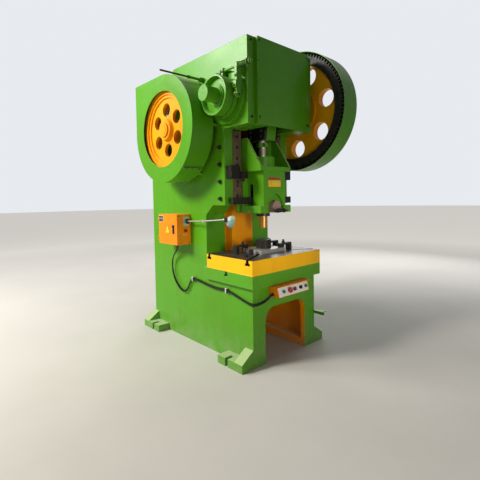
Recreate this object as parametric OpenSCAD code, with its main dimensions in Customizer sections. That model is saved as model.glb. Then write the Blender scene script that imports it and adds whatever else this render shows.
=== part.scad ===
// Open-back mechanical stamping press of about 800 kN, all sizes in millimetres.
// Origin: on the floor under the ram's axis. +X to the machine's right, -Y to the operator, +Z up.

/* [Frame] */
// Outside width over the two side plates
frame_w = 730; // [715:1:745]
// Thickness of each side plate
plate_t = 40; // [32:1:44]
// Clear width between the inner webs of the two sides
web_gap = 330; // [324:1:336]
// Thickness of the front, rear and throat webs
web_t = 45; // [36:1:48]
// Front of the bed, ahead of the ram's axis
bed_front = 238; // [226:1:244]
// Rear of the frame, behind the ram's axis
frame_rear = 1167; // [1140:1:1220]
// Throat wall, behind the ram's axis
throat_depth = 300; // [294:1:306]
// Front of the guide columns, behind the ram's axis
column_front = 54; // [50:1:58]
// Front of the head, ahead of the ram's axis
head_front = 217; // [210:1:224]
// Rear of the head, behind the ram's axis
head_rear = 790; // [776:1:800]
// Height of the bed under the table
bed_h = 598; // [585:1:610]
// Height where the throat wall ends in its chamfer
throat_h = 1117; // [1105:1:1130]
// Height of the guide columns' lower end
column_foot = 1198; // [1192:1:1201]
// Height of the head's underside
head_foot = 1788; // [1784:1:1794]
// Height of the head's top
head_top = 2408; // [2395:1:2440]
// Height of the shelf that carries the motor
shelf_h = 1990; // [1975:1:2000]

/* [Bed] */
// Clear width of the arch in the bed
arch_w = 472; // [440:1:500]
// Height of the arch
arch_h = 421; // [400:1:440]
// Radius of the arch's upper corners
arch_r = 100; // [70:1:120]
// Height of the ledge along the foot of each side
ledge_h = 62; // [45:1:75]
// Width of the table and the bolster
table_w = 800; // [780:1:840]
// Thickness of the table
table_t = 95; // [80:1:100]
// Front of the table and bolster, ahead of the ram's axis
table_front = 275; // [262:1:290]
// Thickness of the bolster plate
bolster_t = 112; // [104:1:118]
// Rear of the bolster plate, behind the ram's axis
bolster_rear = 255; // [245:1:257]
// Radius of the scrap hole through bolster and table
scrap_r = 60; // [50:1:70]
// Width of a T-slot at the surface
slot_w = 24; // [18:1:28]
// Width of a T-slot's undercut
slot_head_w = 44; // [38:1:50]

/* [Feet] */
// Width of each foot pad beyond the side plate
foot_w = 115; // [100:1:130]
// Length of each foot pad
foot_l = 276; // [250:1:300]
// Thickness of the foot pads
foot_t = 62; // [50:1:70]
// Height of the gusset over each foot pad
foot_gusset_h = 141; // [120:1:160]
// Width of the anchor slots
anchor_w = 32; // [26:1:36]

/* [Ram] */
// Stroke of the ram
stroke = 100; // [90:1:101]
// Half width of the ram's guide slab
slab_x = 177; // [174:1:180]
// Front and rear of the guide slab behind the ram's axis
slab_front = 50; // [48:1:53]
slab_rear = 140; // [136:1:144]
// Underside and top of the ram with the ram up
ram_foot = 1132; // [1130:1:1136]
ram_top = 1728; // [1700:1:1735]
// Half width of the ram's body
body_x = 128; // [120:1:132]
// Front of the ram's body, ahead of its axis
body_front = 130; // [125:1:134]
// Height of the ram's lower flange
flange_t = 57; // [50:1:60]
// Underside and thickness of the ram's top plate
crown_z = 1462; // [1455:1:1466]
crown_t = 36; // [32:1:38]
// Clearance between the gibs and the ram
gib_gap = 0.5; // [0.4:0.1:0.8]
// Radius of the adjusting screw
screw_r = 32; // [30:1:34]
// Radius of the ball on the adjusting screw
ball_r = 52; // [48:1:54]
// Radius of the punch
punch_r = 33; // [30:1:35]
// Length of the punch below its collar
punch_l = 95; // [90:1:96]
// Half length of the knock-out bar
bar_x = 340; // [320:1:345]

/* [Drive] */
// Height of the crankshaft's axis
crank_z = 2005; // [2000:1:2015]
// Radius of the crankshaft's journals
journal_r = 70; // [65:1:74]
// Radius of the crankpin
pin_r = 80; // [76:1:82]
// Tooth module of the gear pair
gear_module = 10; // [10:1:10]
// Teeth of the big gear and of the pinion
gear_teeth = 98; // [98:1:98]
pinion_teeth = 21; // [21:1:21]
// Face width of the gear pair
gear_w = 120; // [110:1:124]
// Number of holes in the gear's web
gear_holes = 7; // [6:1:7]
// Back shaft, behind the ram's axis
back_y = 568; // [566:1:572]
// Radius of the back shaft
back_r = 40; // [36:1:44]
// Radius and width of the flywheel
wheel_r = 336; // [326:1:340]
wheel_w = 143; // [138:1:148]
// Number of V-belts
belt_count = 4; // [3:1:4]
// Motor shaft, behind the ram's axis and above the motor's shelf
motor_y = 915; // [910:1:918]
motor_rise = 160; // [156:1:166]
// Radius of the motor's pulley
pulley_r = 80; // [74:1:82]
// Radius and width of the brake drum
drum_r = 145; // [138:1:146]
drum_w = 113; // [108:1:113]

/* [Guards] */
// Radius and width of the belt guard
guard_r = 438; // [432:1:440]
guard_w = 198; // [194:1:204]
// Radius of the opening in the belt guard's front plate
window_r = 309; // [295:1:320]
// Sheet thickness of the guards
sheet_t = 4; // [3:1:5]
// Width of the gear guard
gear_guard_w = 180; // [174:1:190]
// Depth of the front cover of the head
cover_d = 30; // [26:1:34]
// Width of the front cover
cover_w = 580; // [560:1:600]

/* [Controls] */
// Size of the electrical box along the frame, its height and depth
box_l = 299; // [285:1:310]
box_h = 262; // [250:1:275]
box_d = 132; // [125:1:138]
// Width and height of the control panel
panel_w = 360; // [350:1:372]
panel_h = 73; // [68:1:76]
// Radius of the work lamp's shade
shade_r = 48; // [44:1:50]
// Diameter of the two control leads
lead_d = 10; // [9:1:11]

/* [Tooling] */
// Length, depth and thickness of the die shoe
shoe_l = 280; // [270:1:284]
shoe_d = 220; // [212:1:226]
shoe_t = 30; // [26:1:32]
// Radius and height of the die block
die_r = 63; // [60:1:66]
die_h = 72; // [68:1:73]

/* [Hidden] */
// True circles need more than twelve segments
$fn = 64;
eps = 0.01;
run_gap = 0.05;
free_gap = 0.3;

side_x = frame_w / 2;
plate_x = side_x - plate_t;
web_x = web_gap / 2;
web_front = throat_depth;
jaw_front = throat_depth - 90;
seat_front = slab_rear + 5;
seat_t = 35;
rail_out = 280;
rail_in = slab_x + 15;
rail_foot = column_foot + 7;
rail_top = head_foot - 8;
nose_x = slab_x - 27;
nose_y = (slab_front + slab_rear) / 2;

motor_z = shelf_h + motor_rise;
table_z = bed_h + table_t;
bolster_z = table_z + bolster_t;
shoe_z = bolster_z + shoe_t;
die_z = shoe_z + die_h;

throw = stroke / 2;
gear_r = gear_module * gear_teeth / 2;
pinion_r = gear_module * pinion_teeth / 2;
back_z = crank_z - sqrt(pow(gear_r + pinion_r, 2) - back_y * back_y);
mesh_angle = atan2(back_z - crank_z, back_y);
gear_x = side_x + 60;
gear_guard_r = gear_r + 2.2 * gear_module;
web_hole_ring = 318;
web_hole_r = 75;

housing_t = 25;
drum_x = side_x + housing_t + 4;
lining_t = 4;
band_t = 4;
band_w = 36;
band_r = drum_r + free_gap + lining_t + band_t;

guard_in = side_x + 40;
guard_out = guard_in + guard_w;
wheel_out = guard_out - 30;
wheel_in = wheel_out - wheel_w;
wheel_hub_r = 95;
groove_depth = 14;
groove_pitch = 19;
shaft_end = guard_out - 11;

ball_z = crown_z + crown_t;
cap_t = 84;
cap_r = 101;
rod_clear = 130;
rod_foot = ball_z + cap_t + rod_clear;
rod_x = 74;
rod_y = 95;
eye_z = crank_z + throw;
eye_r = pin_r + 12;
nut_t = 33;
nut_top = rod_foot - 17;

bar_foot = ram_foot + 71 + free_gap;
bar_h = 55;
bar_t = 24;
bar_lift = 55;

box_front = 529;
box_rear = box_front + box_l;
box_foot = 858;
lamp_z = box_foot + 202;
door_t = 6;
box_out = side_x + box_d;
button_z = box_foot + 121;
hinge_x = -box_out - door_t / 2 - 1;
hinge_y = box_rear + 6;

panel_left = -190;
panel_foot = 510;
panel_top_y = bed_front + 80;
panel_foot_y = bed_front + 98;
panel_tilt = atan2(panel_foot_y - panel_top_y, panel_h);

// Helpers: the machine is drawn mostly from side profiles and from shafts along X

// A side profile of [y, z] points, from x0 to x1
module profile(points, x0, x1) {
    translate([x0, 0, 0]) rotate([90, 0, 90]) linear_extrude(x1 - x0) polygon(points);
}

// A cylinder along X about the point [y, z]
module shaft(x0, x1, r, y, z) {
    translate([min(x0, x1), y, z]) rotate([0, 90, 0]) cylinder(h = abs(x1 - x0), r = r);
}

// A box between two corners
module block(low, high) {
    translate(low) cube([high[0] - low[0], high[1] - low[1], high[2] - low[2]]);
}

// A round bar between two points
module bar(a, b, r) {
    d = b - a;
    len = norm(d);
    translate(a) rotate([0, acos(d[2] / len), atan2(d[1], d[0])]) cylinder(h = len, r = r);
}

module both_sides() {
    children();
    mirror([1, 0, 0]) children();
}

// Points of a gear's outline with straight flanks, its first tooth at the angle start
function gear_points(teeth, start) =
    let (pitch = 360 / teeth, r = gear_module * teeth / 2, tip = r + 0.95 * gear_module,
         root = r - 1.2 * gear_module, half_root = pitch * 0.33, half_tip = pitch * 0.125)
    [for (i = [0 : teeth - 1], k = [0 : 3])
        let (a = start + i * pitch + [-half_root, -half_tip, half_tip, half_root][k],
             q = (k == 0 || k == 3) ? root : tip)
        [q * cos(a), q * sin(a)]];

// Frame

side_outline = [
    [-bed_front, 0], [-bed_front, bed_h], [web_front, bed_h], [web_front, throat_h],
    [jaw_front, column_foot], [column_front, column_foot], [column_front, head_foot],
    [-head_front, head_foot], [-head_front, head_top], [head_rear - 50, head_top],
    [head_rear, head_top - 68], [head_rear, shelf_h], [frame_rear, shelf_h], [frame_rear, 0]
];

throat_web = [
    [web_front, bed_h], [web_front, throat_h], [jaw_front, column_foot],
    [seat_front, column_foot], [seat_front, head_foot], [seat_front + seat_t, head_foot],
    [seat_front + seat_t, column_foot + web_t], [jaw_front + 20, column_foot + web_t],
    [web_front + web_t, throat_h + 18], [web_front + web_t, bed_h]
];

head_web = [
    [-head_front, head_foot], [-head_front, head_top], [web_t - head_front, head_top],
    [web_t - head_front, head_foot + web_t], [seat_front + seat_t, head_foot + web_t],
    [seat_front + seat_t, head_foot]
];

module cheek() {
    difference() {
        union() {
            profile(side_outline, plate_x, side_x);
            profile(throat_web, web_x, plate_x);
            profile(head_web, web_x, plate_x);
            block([web_x, web_front, head_foot], [plate_x, web_front + web_t, shelf_h - web_t]);
            block([web_x, column_back + column_wall, throat_h - 40], [plate_x, frame_rear - web_t, throat_h]);
            block([rail_out, column_front, column_foot], [plate_x, seat_front, head_foot]);
            block([arch_w / 2, web_t - bed_front, 0], [plate_x, frame_rear - web_t, ledge_h]);
        }
        shaft(web_x - 1, side_x + 1, journal_r + 50, 0, crank_z);
        shaft(plate_x - 1, side_x + 1, back_r + 35, back_y, back_z);
        for (z = gib_levels) shaft(rail_out - 1, side_x + 1, screw_hole_r, gib_screw_y, z);
    }
}

gib_levels = [for (i = [0 : 3]) rail_foot + 45 + i * 133];
gib_screw_y = slab_front + 55;
screw_hole_r = 10;

module left_cheek() {
    color("limegreen") mirror([1, 0, 0]) cheek();
}

module right_cheek() {
    color("limegreen") cheek();
}

// The bed's front plate with its arch, between the side plates
module arch_cut(y0, y1) {
    half = arch_w / 2;
    flat = half - arch_r;
    translate([0, y0, 0]) mirror([0, 1, 0]) rotate([90, 0, 0]) linear_extrude(y1 - y0) union() {
        translate([-half, -1]) square([arch_w, arch_h - arch_r + 1]);
        translate([-flat, -1]) square([2 * flat, arch_h + 1]);
        for (s = [-1, 1]) translate([s * flat, arch_h - arch_r]) circle(arch_r - eps);
    }
}

module bed_front_plate() {
    color("forestgreen") difference() {
        block([-plate_x, -bed_front, 0], [plate_x, web_t - bed_front, bed_h]);
        arch_cut(-bed_front - 1, web_t - bed_front + 1);
    }
}

// The rear plate with the same arch, and the motor's shelf in one bent weldment
module rear_plate() {
    color("forestgreen") difference() {
        profile([[frame_rear - web_t, 0], [frame_rear, 0], [frame_rear, shelf_h], [head_rear, shelf_h],
                 [head_rear, shelf_h - web_t], [frame_rear - web_t, shelf_h - web_t]], -plate_x, plate_x);
        arch_cut(frame_rear - web_t - 1, frame_rear + 1);
    }
}

column_x = 123;
column_y = web_front - 42;
column_wall = 20;
column_back = web_front + web_t;

column_top = shelf_h - web_t;

// The boxed column between the cheeks, with a nose that follows the throat's chamfer
module throat_column() {
    nose_front = jaw_front - 32;
    t = column_wall;
    color("darkorange") {
        difference() {
            block([-column_x, column_y, table_z], [column_x, column_back, column_top]);
            block([t - column_x, column_y + t, table_z - 1], [column_x - t, column_back + 1, column_top + 1]);
        }
        profile([[column_y, throat_h + 15], [nose_front, column_foot], [nose_front, column_foot + t],
                 [column_y, column_foot + t]], -column_x, column_x);
        block([-web_x - 20, column_back, table_z], [web_x + 20, column_back + t, column_top]);
    }
}

// The head's top plate, bent down at the rear
module head_plates() {
    t = plate_t;
    color("forestgreen") profile([
        [web_t - head_front, head_top], [head_rear - 50, head_top], [head_rear, head_top - 68],
        [head_rear, shelf_h - web_t], [head_rear - t, shelf_h - web_t], [head_rear - t, head_top - 68 - 13],
        [head_rear - 50 - 20, head_top - t], [web_t - head_front, head_top - t]], -plate_x, plate_x);
}

table_slot_y = 18;

// A straight T-slot from the origin along +X, its mouth at z = 0
module t_slot(len) {
    neck = 22;
    head = 18;
    translate([0, -slot_w / 2, -neck]) cube([len, slot_w, neck + 1]);
    translate([0, -slot_head_w / 2, -neck - head]) cube([len, slot_head_w, head]);
}

module table_plate() {
    color("forestgreen") difference() {
        block([-table_w / 2, -table_front, bed_h], [table_w / 2, web_front, table_z]);
        translate([0, 0, bed_h - 1]) cylinder(h = table_t + 2, r = scrap_r + 40);
        both_sides() translate([scrap_r + 90, table_slot_y, table_z]) t_slot(table_w);
    }
}

module bolster_plate() {
    color("gold") difference() {
        block([-table_w / 2, -table_front, table_z], [table_w / 2, bolster_rear, bolster_z]);
        translate([0, 0, table_z - 1]) cylinder(h = bolster_t + 2, r = scrap_r);
        for (a = [-slot_angle, slot_angle, 180 - slot_angle, 180 + slot_angle])
            rotate([0, 0, a]) translate([2 * scrap_r, 0, bolster_z]) t_slot(table_w);
    }
}

// One foot: pad with an open anchor slot, and a gusset at its end
module foot() {
    slot_y = foot_l - 175;
    gusset_t = 88;
    difference() {
        block([side_x, 0, 0], [side_x + foot_w, foot_l, foot_t]);
        block([side_x + foot_w - 65, slot_y - anchor_w / 2, -1], [side_x + foot_w + 1, slot_y + anchor_w / 2, foot_t + 1]);
    }
    translate([0, foot_l, 0]) rotate([90, 0, 0]) linear_extrude(gusset_t)
        polygon([[side_x, foot_t], [side_x + foot_w, foot_t], [side_x, foot_gusset_h]]);
}

module foot_pads() {
    color("limegreen") both_sides() {
        translate([0, foot_l - bed_front, 0]) mirror([0, 1, 0]) foot();
        translate([0, frame_rear - foot_l + 30, 0]) foot();
    }
}

// The head's front cover: a shallow steel tray over the crank space
module front_cover() {
    wall = 6;
    x = cover_w / 2;
    y = head_front + cover_d;
    low = head_foot - 3;
    color("darkgreen") difference() {
        block([-x, -y, low], [x, -head_front, head_top]);
        block([wall - x, wall - y, low - 1], [x - wall, 1 - head_front, head_top - wall]);
    }
}

// Bolts of the cover and its strip, gib screws with their lock nuts, and the gib rails' bolts
module frame_screws() {
    strip_x = (cover_w / 2 + side_x) / 2;
    color("dimgray") {
        both_sides() for (z = [head_foot + 50, head_top - 28]) {
            translate([strip_x, -head_front, z]) rotate([90, 0, 0]) cylinder(h = 8, r = 9, $fn = 6);
            translate([cover_w / 2 - 14, -head_front - cover_d, z]) rotate([90, 0, 0])
                cylinder(h = 7, r = 8, $fn = 6);
        }
        for (z = gib_levels) {
            shaft(-rail_out, -side_x - 26, screw_hole_r - 0.5, gib_screw_y, z);
            shaft(-side_x, -side_x - 10, 17, gib_screw_y, z);
            shaft(rail_out, side_x + 6, screw_hole_r - 0.5, gib_screw_y, z);
        }
        both_sides() for (z = gib_levels)
            translate([(rail_in + rail_out) / 2, slab_front, z]) rotate([90, 0, 0]) cylinder(h = 7, r = 10);
    }
}

// V-shaped gib rails that guide the ram
module gib_rails() {
    nose = rail_in - nose_x;
    color("dimgray") both_sides() translate([0, 0, rail_foot]) linear_extrude(rail_top - rail_foot)
        polygon([[rail_in, slab_front], [rail_out, slab_front], [rail_out, seat_front], [rail_in, seat_front],
                 [rail_in, nose_y + nose], [nose_x, nose_y], [rail_in, nose_y - nose]]);
}

// Drive housings

module crank_bearings() {
    color("forestgreen") both_sides() difference() {
        union() {
            shaft(side_x, side_x + housing_t, 195, 0, crank_z);
            shaft(web_x, side_x + eps, journal_r + 50, 0, crank_z);
        }
        shaft(web_x - 1, side_x + housing_t + 1, journal_r + run_gap, 0, crank_z);
    }
}

module back_shaft_bearings() {
    color("forestgreen") both_sides() difference() {
        union() {
            shaft(side_x, side_x + housing_t, 110, back_y, back_z);
            shaft(web_x + 100, side_x + eps, back_r + 35, back_y, back_z);
        }
        shaft(web_x + 99, side_x + housing_t + 1, back_r + run_gap, back_y, back_z);
    }
}

// Outline of the belt guard: a circle with a square corner at the rear top
module guard_solid(x0, x1, inset) {
    r = guard_r - inset;
    shaft(x0, x1, r, back_y, back_z);
    block([x0, back_y, back_z], [x1, back_y + r - 1, back_z + r - 1]);
}

module belt_guard() {
    split_z = back_z - 330;
    split_y = sqrt(pow(guard_r, 2) - pow(330, 2));
    color("limegreen") difference() {
        union() {
            guard_solid(-guard_out, -guard_in, 0);
            for (s = [-1, 1], dz = [-6, 3]) block([-guard_out + 6, back_y + s * split_y - 14, split_z + dz],
                                                  [-guard_in - 6, back_y + s * split_y + 14, split_z + dz + 4]);
            for (a = [100, 180, 240, 300])
                shaft(-guard_in - 20, -side_x, 12, back_y + (guard_r - 12) * cos(a), back_z + (guard_r - 12) * sin(a));
        }
        difference() {
            guard_solid(-guard_out + sheet_t, -guard_in + 1, sheet_t);
            for (a = [100, 180, 240, 300])
                shaft(-guard_in - 20, -side_x, 12, back_y + (guard_r - 12) * cos(a), back_z + (guard_r - 12) * sin(a));
        }
        shaft(-guard_out - 1, -guard_out + sheet_t + 1, window_r, back_y, back_z);
    }
}

// Outline of the gear guard: the gear's circle, run out over the pinion
module gear_guard_solid(x0, x1, inset) {
    r = gear_guard_r - inset;
    q = pinion_r + 45 - inset;
    shaft(x0, x1, r, 0, crank_z);
    shaft(x0, x1, q, back_y, back_z);
    reach = gear_r + pinion_r;
    lean = acos((r - q) / reach);
    k = 0.998;
    profile([for (s = [-1, 1], end = [0, 1])
        let (a = mesh_angle + s * lean, e = s < 0 ? end : 1 - end, c = e == 0 ? r : q)
        [e * back_y + k * c * cos(a), crank_z + e * (back_z - crank_z) + k * c * sin(a)]], x0, x1);
}

gear_guard_x = gear_x - 15;

module gear_guard() {
    x1 = gear_guard_x + gear_guard_w;
    color("forestgreen") {
        difference() {
            gear_guard_solid(gear_guard_x, x1, -sheet_t);
            gear_guard_solid(gear_guard_x - 1, x1 - sheet_t, 0);
            shaft(x1 - sheet_t - 1, x1 + 1, gear_guard_r - 110, 0, crank_z);
        }
        for (a = [42, -62]) let (r = gear_guard_r + sheet_t + 6)
            shaft(side_x, gear_guard_x + 25, 11, r * cos(a), crank_z + r * sin(a));
        let (r = pinion_r + 45 + sheet_t + 6)
            shaft(side_x, gear_guard_x + 25, 11, back_y + r * cos(35), back_z - r * sin(35));
    }
}

// Motor, its bracket and the belts

motor_r = 108;
motor_left = -side_x + 45;
motor_l = 380;
motor_feet_z = motor_z - 132;

module motor() {
    color("steelblue") difference() {
        union() {
            shaft(motor_left + 30, motor_left + motor_l - 70, motor_r - 6, motor_y, motor_z);
            for (i = [0 : 23]) translate([motor_left + 34, motor_y, motor_z]) rotate([i * 15 + 7.5, 0, 0])
                translate([0, -1.5, motor_r - 12]) cube([motor_l - 112, 3, 12]);
            shaft(motor_left, motor_left + 30, motor_r, motor_y, motor_z);
            shaft(motor_left + motor_l - 70, motor_left + motor_l, motor_r + 2, motor_y, motor_z);
            for (x = [motor_left + 50, motor_left + motor_l - 140])
                block([x, motor_y - 95, motor_feet_z], [x + 45, motor_y + 95, motor_feet_z + 36]);
            block([motor_left + 90, motor_y + 60, motor_z + 50], [motor_left + 200, motor_y + 105, motor_z + 105]);
        }
        shaft(motor_left - 1, motor_left + 20, 19 + run_gap, motor_y, motor_z);
    }
}

module motor_bracket() {
    x1 = motor_left + motor_l;
    color("forestgreen") {
        block([motor_left - 10, motor_y - 112, motor_feet_z - 14], [x1 + 10, motor_y + 112, motor_feet_z]);
        for (x = [motor_left + 10, x1 - 30])
            block([x, motor_y - 100, shelf_h], [x + 20, motor_y + 100, motor_feet_z - 14]);
    }
}

belt_first = wheel_in + 26;

module drive_belts() {
    belt_w = 9.5;
    outer = 1.5;
    color("dimgray") for (i = [0 : belt_count - 1])
        translate([-belt_first - i * groove_pitch - belt_w / 2, 0, 0]) rotate([90, 0, 90])
            linear_extrude(belt_w) difference() {
                belt_loop(outer);
                belt_loop(groove_depth - free_gap);
            }
}

module belt_loop(inset) {
    hull() {
        translate([back_y, back_z]) circle(wheel_r - inset, $fn = 96);
        translate([motor_y, motor_z]) circle(pulley_r - inset, $fn = 48);
    }
}

// Grooved rim section of a wheel from x0 along +X: [x, r] points of its outer side
function grooves(x0, first, r) = [
    for (i = [0 : belt_count - 1], k = [0 : 3])
        [x0 + first + i * groove_pitch + [-8, -6, 6, 8][k], (k == 0 || k == 3) ? r : r - groove_depth]
];

module wheel_about(y, z) {
    translate([0, y, z]) rotate([0, -90, 0]) rotate_extrude($fn = 96) children();
}

// Brake on the crankshaft's left end

module sector_cut(r, a0, a1) {
    polygon([[0, 0], [2 * r * cos(a0), 2 * r * sin(a0)], [3 * r * cos((a0 + a1) / 2), 3 * r * sin((a0 + a1) / 2)],
             [2 * r * cos(a1), 2 * r * sin(a1)]]);
}

// A strap around the drum, open between the angles a0 and a1
module strap(r0, r1, x0, x1, a0, a1) {
    translate([x0, 0, crank_z]) rotate([90, 0, 90]) linear_extrude(x1 - x0) difference() {
        circle(r1, $fn = 96);
        circle(r0, $fn = 96);
        sector_cut(r1, a0, a1);
    }
}

band_x0 = -drum_x - band_w - 2;
band_x1 = -drum_x - 2;
band_gap_a = [96, 158];
lug_z = crank_z + band_r + 33;
lug_y = 6 - band_r * sin(6);
bracket_y = -head_front + 34;
bracket_t = 23;
spring_l = 84;

module brake_band() {
    r0 = band_r - band_t;
    ear_y = bracket_y + bracket_t;
    color("forestgreen") {
        strap(r0, band_r, band_x0, band_x1, band_gap_a[0], band_gap_a[1]);
        difference() {
            block([band_x0, lug_y - 16, crank_z + band_r - 3], [band_x1, lug_y + 2, lug_z + 18]);
            translate([band_x0 + band_w / 2, lug_y - 20, lug_z]) rotate([-90, 0, 0]) cylinder(h = 30, r = 10);
        }
        difference() {
            block([band_x0 - 3, ear_y, crank_z + 38], [band_x1, 12 - band_r * cos(22), crank_z + 72]);
            shaft(band_x0 - 4, band_x1 + 1, r0, 0, crank_z);
        }
        shaft(band_x0 - 6, band_x0, 5, ear_y + 7, crank_z + 63);
    }
}

module brake_lining() {
    color("black") strap(drum_r + free_gap, drum_r + free_gap + lining_t, band_x0 + 1, band_x1 - 1,
                         band_gap_a[0] + 2, band_gap_a[1] + 2);
}

// The upright that carries the band's fixed end and its tension rod, with a rounded lower end
module brake_bracket() {
    x = band_x0 + band_w / 2;
    color("forestgreen") difference() {
        union() {
            block([x - 23, bracket_y, crank_z - 15], [x + 23, bracket_y + bracket_t, lug_z + 20]);
            translate([x, bracket_y, crank_z - 15]) rotate([-90, 0, 0]) cylinder(h = bracket_t, r = 23);
            block([x + 22, bracket_y, crank_z + 125], [-side_x, bracket_y + bracket_t, lug_z + 10]);
        }
        translate([x, bracket_y - 1, lug_z]) rotate([-90, 0, 0]) cylinder(h = bracket_t + 2, r = 10);
        translate([x, bracket_y - 1, crank_z - 15]) rotate([-90, 0, 0]) cylinder(h = bracket_t + 2, r = 9);
    }
}

// Tension rod from the band's lug through the bracket, with its spring, washers and nuts
module brake_spring() {
    coils = 7;
    wire = 4.5;
    pitch = spring_l / coils;
    start = -bracket_y;
    color("silver") translate([band_x0 + band_w / 2, 0, lug_z]) rotate([90, 0, 0]) {
        translate([0, 0, -lug_y - 12]) cylinder(h = start + spring_l + 44 + lug_y + 12, r = 10 - eps);
        translate([0, 0, start]) cylinder(h = 5, r = 25);
        for (i = [0 : coils - 1]) translate([0, 0, start + 5 + pitch * (i + 0.5)])
            rotate_extrude($fn = 40) translate([14, 0]) circle(wire, $fn = 16);
        translate([0, 0, start + spring_l + 5]) cylinder(h = 6, r = 25);
        for (h = [11, 25]) translate([0, 0, start + spring_l + h]) cylinder(h = 12, r = 17, $fn = 6);
        translate([0, 0, -lug_y - 16]) cylinder(h = 5, r = 9);
    }
}

// Knock-out stops on the guide columns
stop_rise = 198;

module stop_blocks() {
    z = rail_foot + stop_rise;
    color("black") both_sides() {
        block([rail_out - 26, -5, z], [rail_out, slab_front, z + 103]);
        block([rail_out, -5, z], [side_x - 18, column_front, z + 103]);
        block([slab_x + 8, -20, z + 2], [rail_out - 26, 20, z + 57]);
        translate([slab_x + 42, 0, z - 20]) cylinder(h = 22, r = 12, $fn = 6);
    }
}

// Tooling on the bolster

module die_shoe() {
    x0 = -140;
    color("silver") difference() {
        block([x0, -shoe_d / 2, bolster_z], [x0 + shoe_l, shoe_d / 2, shoe_z]);
        translate([0, 0, bolster_z - 1]) cylinder(h = shoe_t + 2, r = punch_r + 6);
    }
}

module die_block() {
    color("dimgray") difference() {
        translate([0, 0, shoe_z]) cylinder(h = die_h, r = die_r);
        translate([0, 0, shoe_z - 1]) cylinder(h = die_h + 2, r = punch_r + 0.6);
    }
}

// A strap clamp along +X from its tip on the die shoe to its heel block on the bolster
clamp_l = 160;
clamp_z = 49;
strap_t = 16;
module clamp_at(stud_x) {
    difference() {
        block([0, -18, bolster_z + clamp_z], [clamp_l, 18, bolster_z + clamp_z + strap_t]);
        block([stud_x - 18, -8.5, bolster_z], [stud_x + 18, 8.5, bolster_z + clamp_z + strap_t + 1]);
    }
    block([0, -16, shoe_z], [24, 16, bolster_z + clamp_z]);
    block([clamp_l - 36, -20, bolster_z], [clamp_l, 20, bolster_z + clamp_z]);
}

module stud_at() {
    top = bolster_z + clamp_z + strap_t;
    translate([0, 0, bolster_z - 22]) cylinder(h = top + 51 - bolster_z, r = 8);
    translate([0, 0, bolster_z - 39]) cylinder(h = 17, r = 16, $fn = 6);
    translate([0, 0, top]) cylinder(h = 3, r = 16);
    translate([0, 0, top + 3]) cylinder(h = 12, r = 13, $fn = 6);
}

// Strap clamps: place of the stud in its T-slot, direction, and tip to stud
slot_angle = atan2(table_front - 52, table_w / 2);
clamp_ring = shoe_l / 2 + 37;
clamp_places = [
    [(clamp_ring + 2) * cos(180 - slot_angle), (clamp_ring + 2) * sin(180 - slot_angle), 188, 54],
    [(clamp_ring - 4) * cos(-slot_angle), (clamp_ring - 4) * sin(-slot_angle), 8, 60],
    [clamp_ring * cos(slot_angle), clamp_ring * sin(slot_angle), 5, 46]
];

module strap_clamps() {
    color("dimgray") for (p = clamp_places)
        translate([p[0], p[1], 0]) rotate([0, 0, p[2]]) translate([-p[3], 0, 0]) clamp_at(p[3]);
}

// The clamps' T-bolts, and a spare bush and nut that lie beside the die
module clamp_studs() {
    color("dimgray") {
        for (p = clamp_places) translate([p[0], p[1], 0]) rotate([0, 0, p[2]]) stud_at();
        translate([-185, -42, bolster_z]) difference() {
            cylinder(h = 40, r = 19);
            translate([0, 0, -1]) cylinder(h = 42, r = 11);
        }
        translate([-290, -96, bolster_z]) difference() {
            cylinder(h = 16, r = 17, $fn = 6);
            translate([0, 0, -1]) cylinder(h = 18, r = 8.5);
        }
    }
}

// Electrical box on the left cheek, open where its door closes it

module electrical_box() {
    wall = 3;
    top = box_foot + box_h;
    color("orange") {
        difference() {
            block([-box_out, box_front, box_foot], [-side_x, box_rear, top]);
            block([-box_out - 1, box_front + wall, box_foot + wall], [-side_x - wall, box_rear - wall, top - wall]);
            translate([-side_x - 54, box_front - 1, button_z]) rotate([-90, 0, 0])
                cylinder(h = wall + 2, r = 9.3);
        }
        block([-side_x - 12, box_front + 20, box_foot + 20], [-side_x - wall, box_rear - 20, top - 20]);
        for (i = [0 : 2]) block([-side_x - 70, box_front + 40 + i * 72, top - 120],
                                [-side_x - 12, box_front + 92 + i * 72, top - 45]);
        block([-side_x - 45, box_front + 40, box_foot + 45], [-side_x - 12, box_rear - 50, box_foot + 80]);
        for (z = [box_foot + 30, top - 70]) shaft_z(hinge_x, hinge_y, z, 40, 4);
        for (z = [box_foot + 30, top - 70])
            block([-box_out + 4, box_rear - 0.5, z], [-box_out + 20, box_rear + 4, z + 40]);
        for (z = [box_foot + 30, top - 70])
            block([hinge_x, hinge_y - 3.5, z], [-box_out + 6, hinge_y + 3.5, z + 14]);
    }
}

module shaft_z(x, y, z, h, r) {
    translate([x, y, z]) cylinder(h = h, r = r);
}

// The door: a tray lid that turns on the hinge pins at its rear edge
module box_door() {
    top = box_foot + box_h;
    color("orange") difference() {
        union() {
            block([-box_out - door_t, box_front, box_foot], [-box_out - 0.5, box_rear - 3, top]);
            for (z = [box_foot + 46, top - 54]) {
                shaft_z(hinge_x, hinge_y, z, 24, 6.5);
                block([-box_out - door_t, box_rear - 4, z], [-box_out - door_t + 3, hinge_y, z + 24]);
            }
            translate([-box_out - door_t - 12, box_front + 56, button_z + 36]) rotate([0, 90, 0])
                cylinder(h = 13, r = 9);
        }
        for (z = [box_foot + 46, top - 54]) shaft_z(hinge_x, hinge_y, z - 1, 26, 4 + run_gap);
        for (z = [box_foot + 20, top - 80]) block([-box_out - door_t - 1, box_rear - 3.5, z],
                                                  [-box_out, box_rear + 20, z + 25]);
    }
}

module box_button() {
    color("red") translate([-side_x - 54, box_front, button_z]) rotate([90, 0, 0]) {
        translate([0, 0, 5]) cylinder(h = 8, r = 14);
        translate([0, 0, -16]) cylinder(h = 22, r = 9);
    }
}

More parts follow.
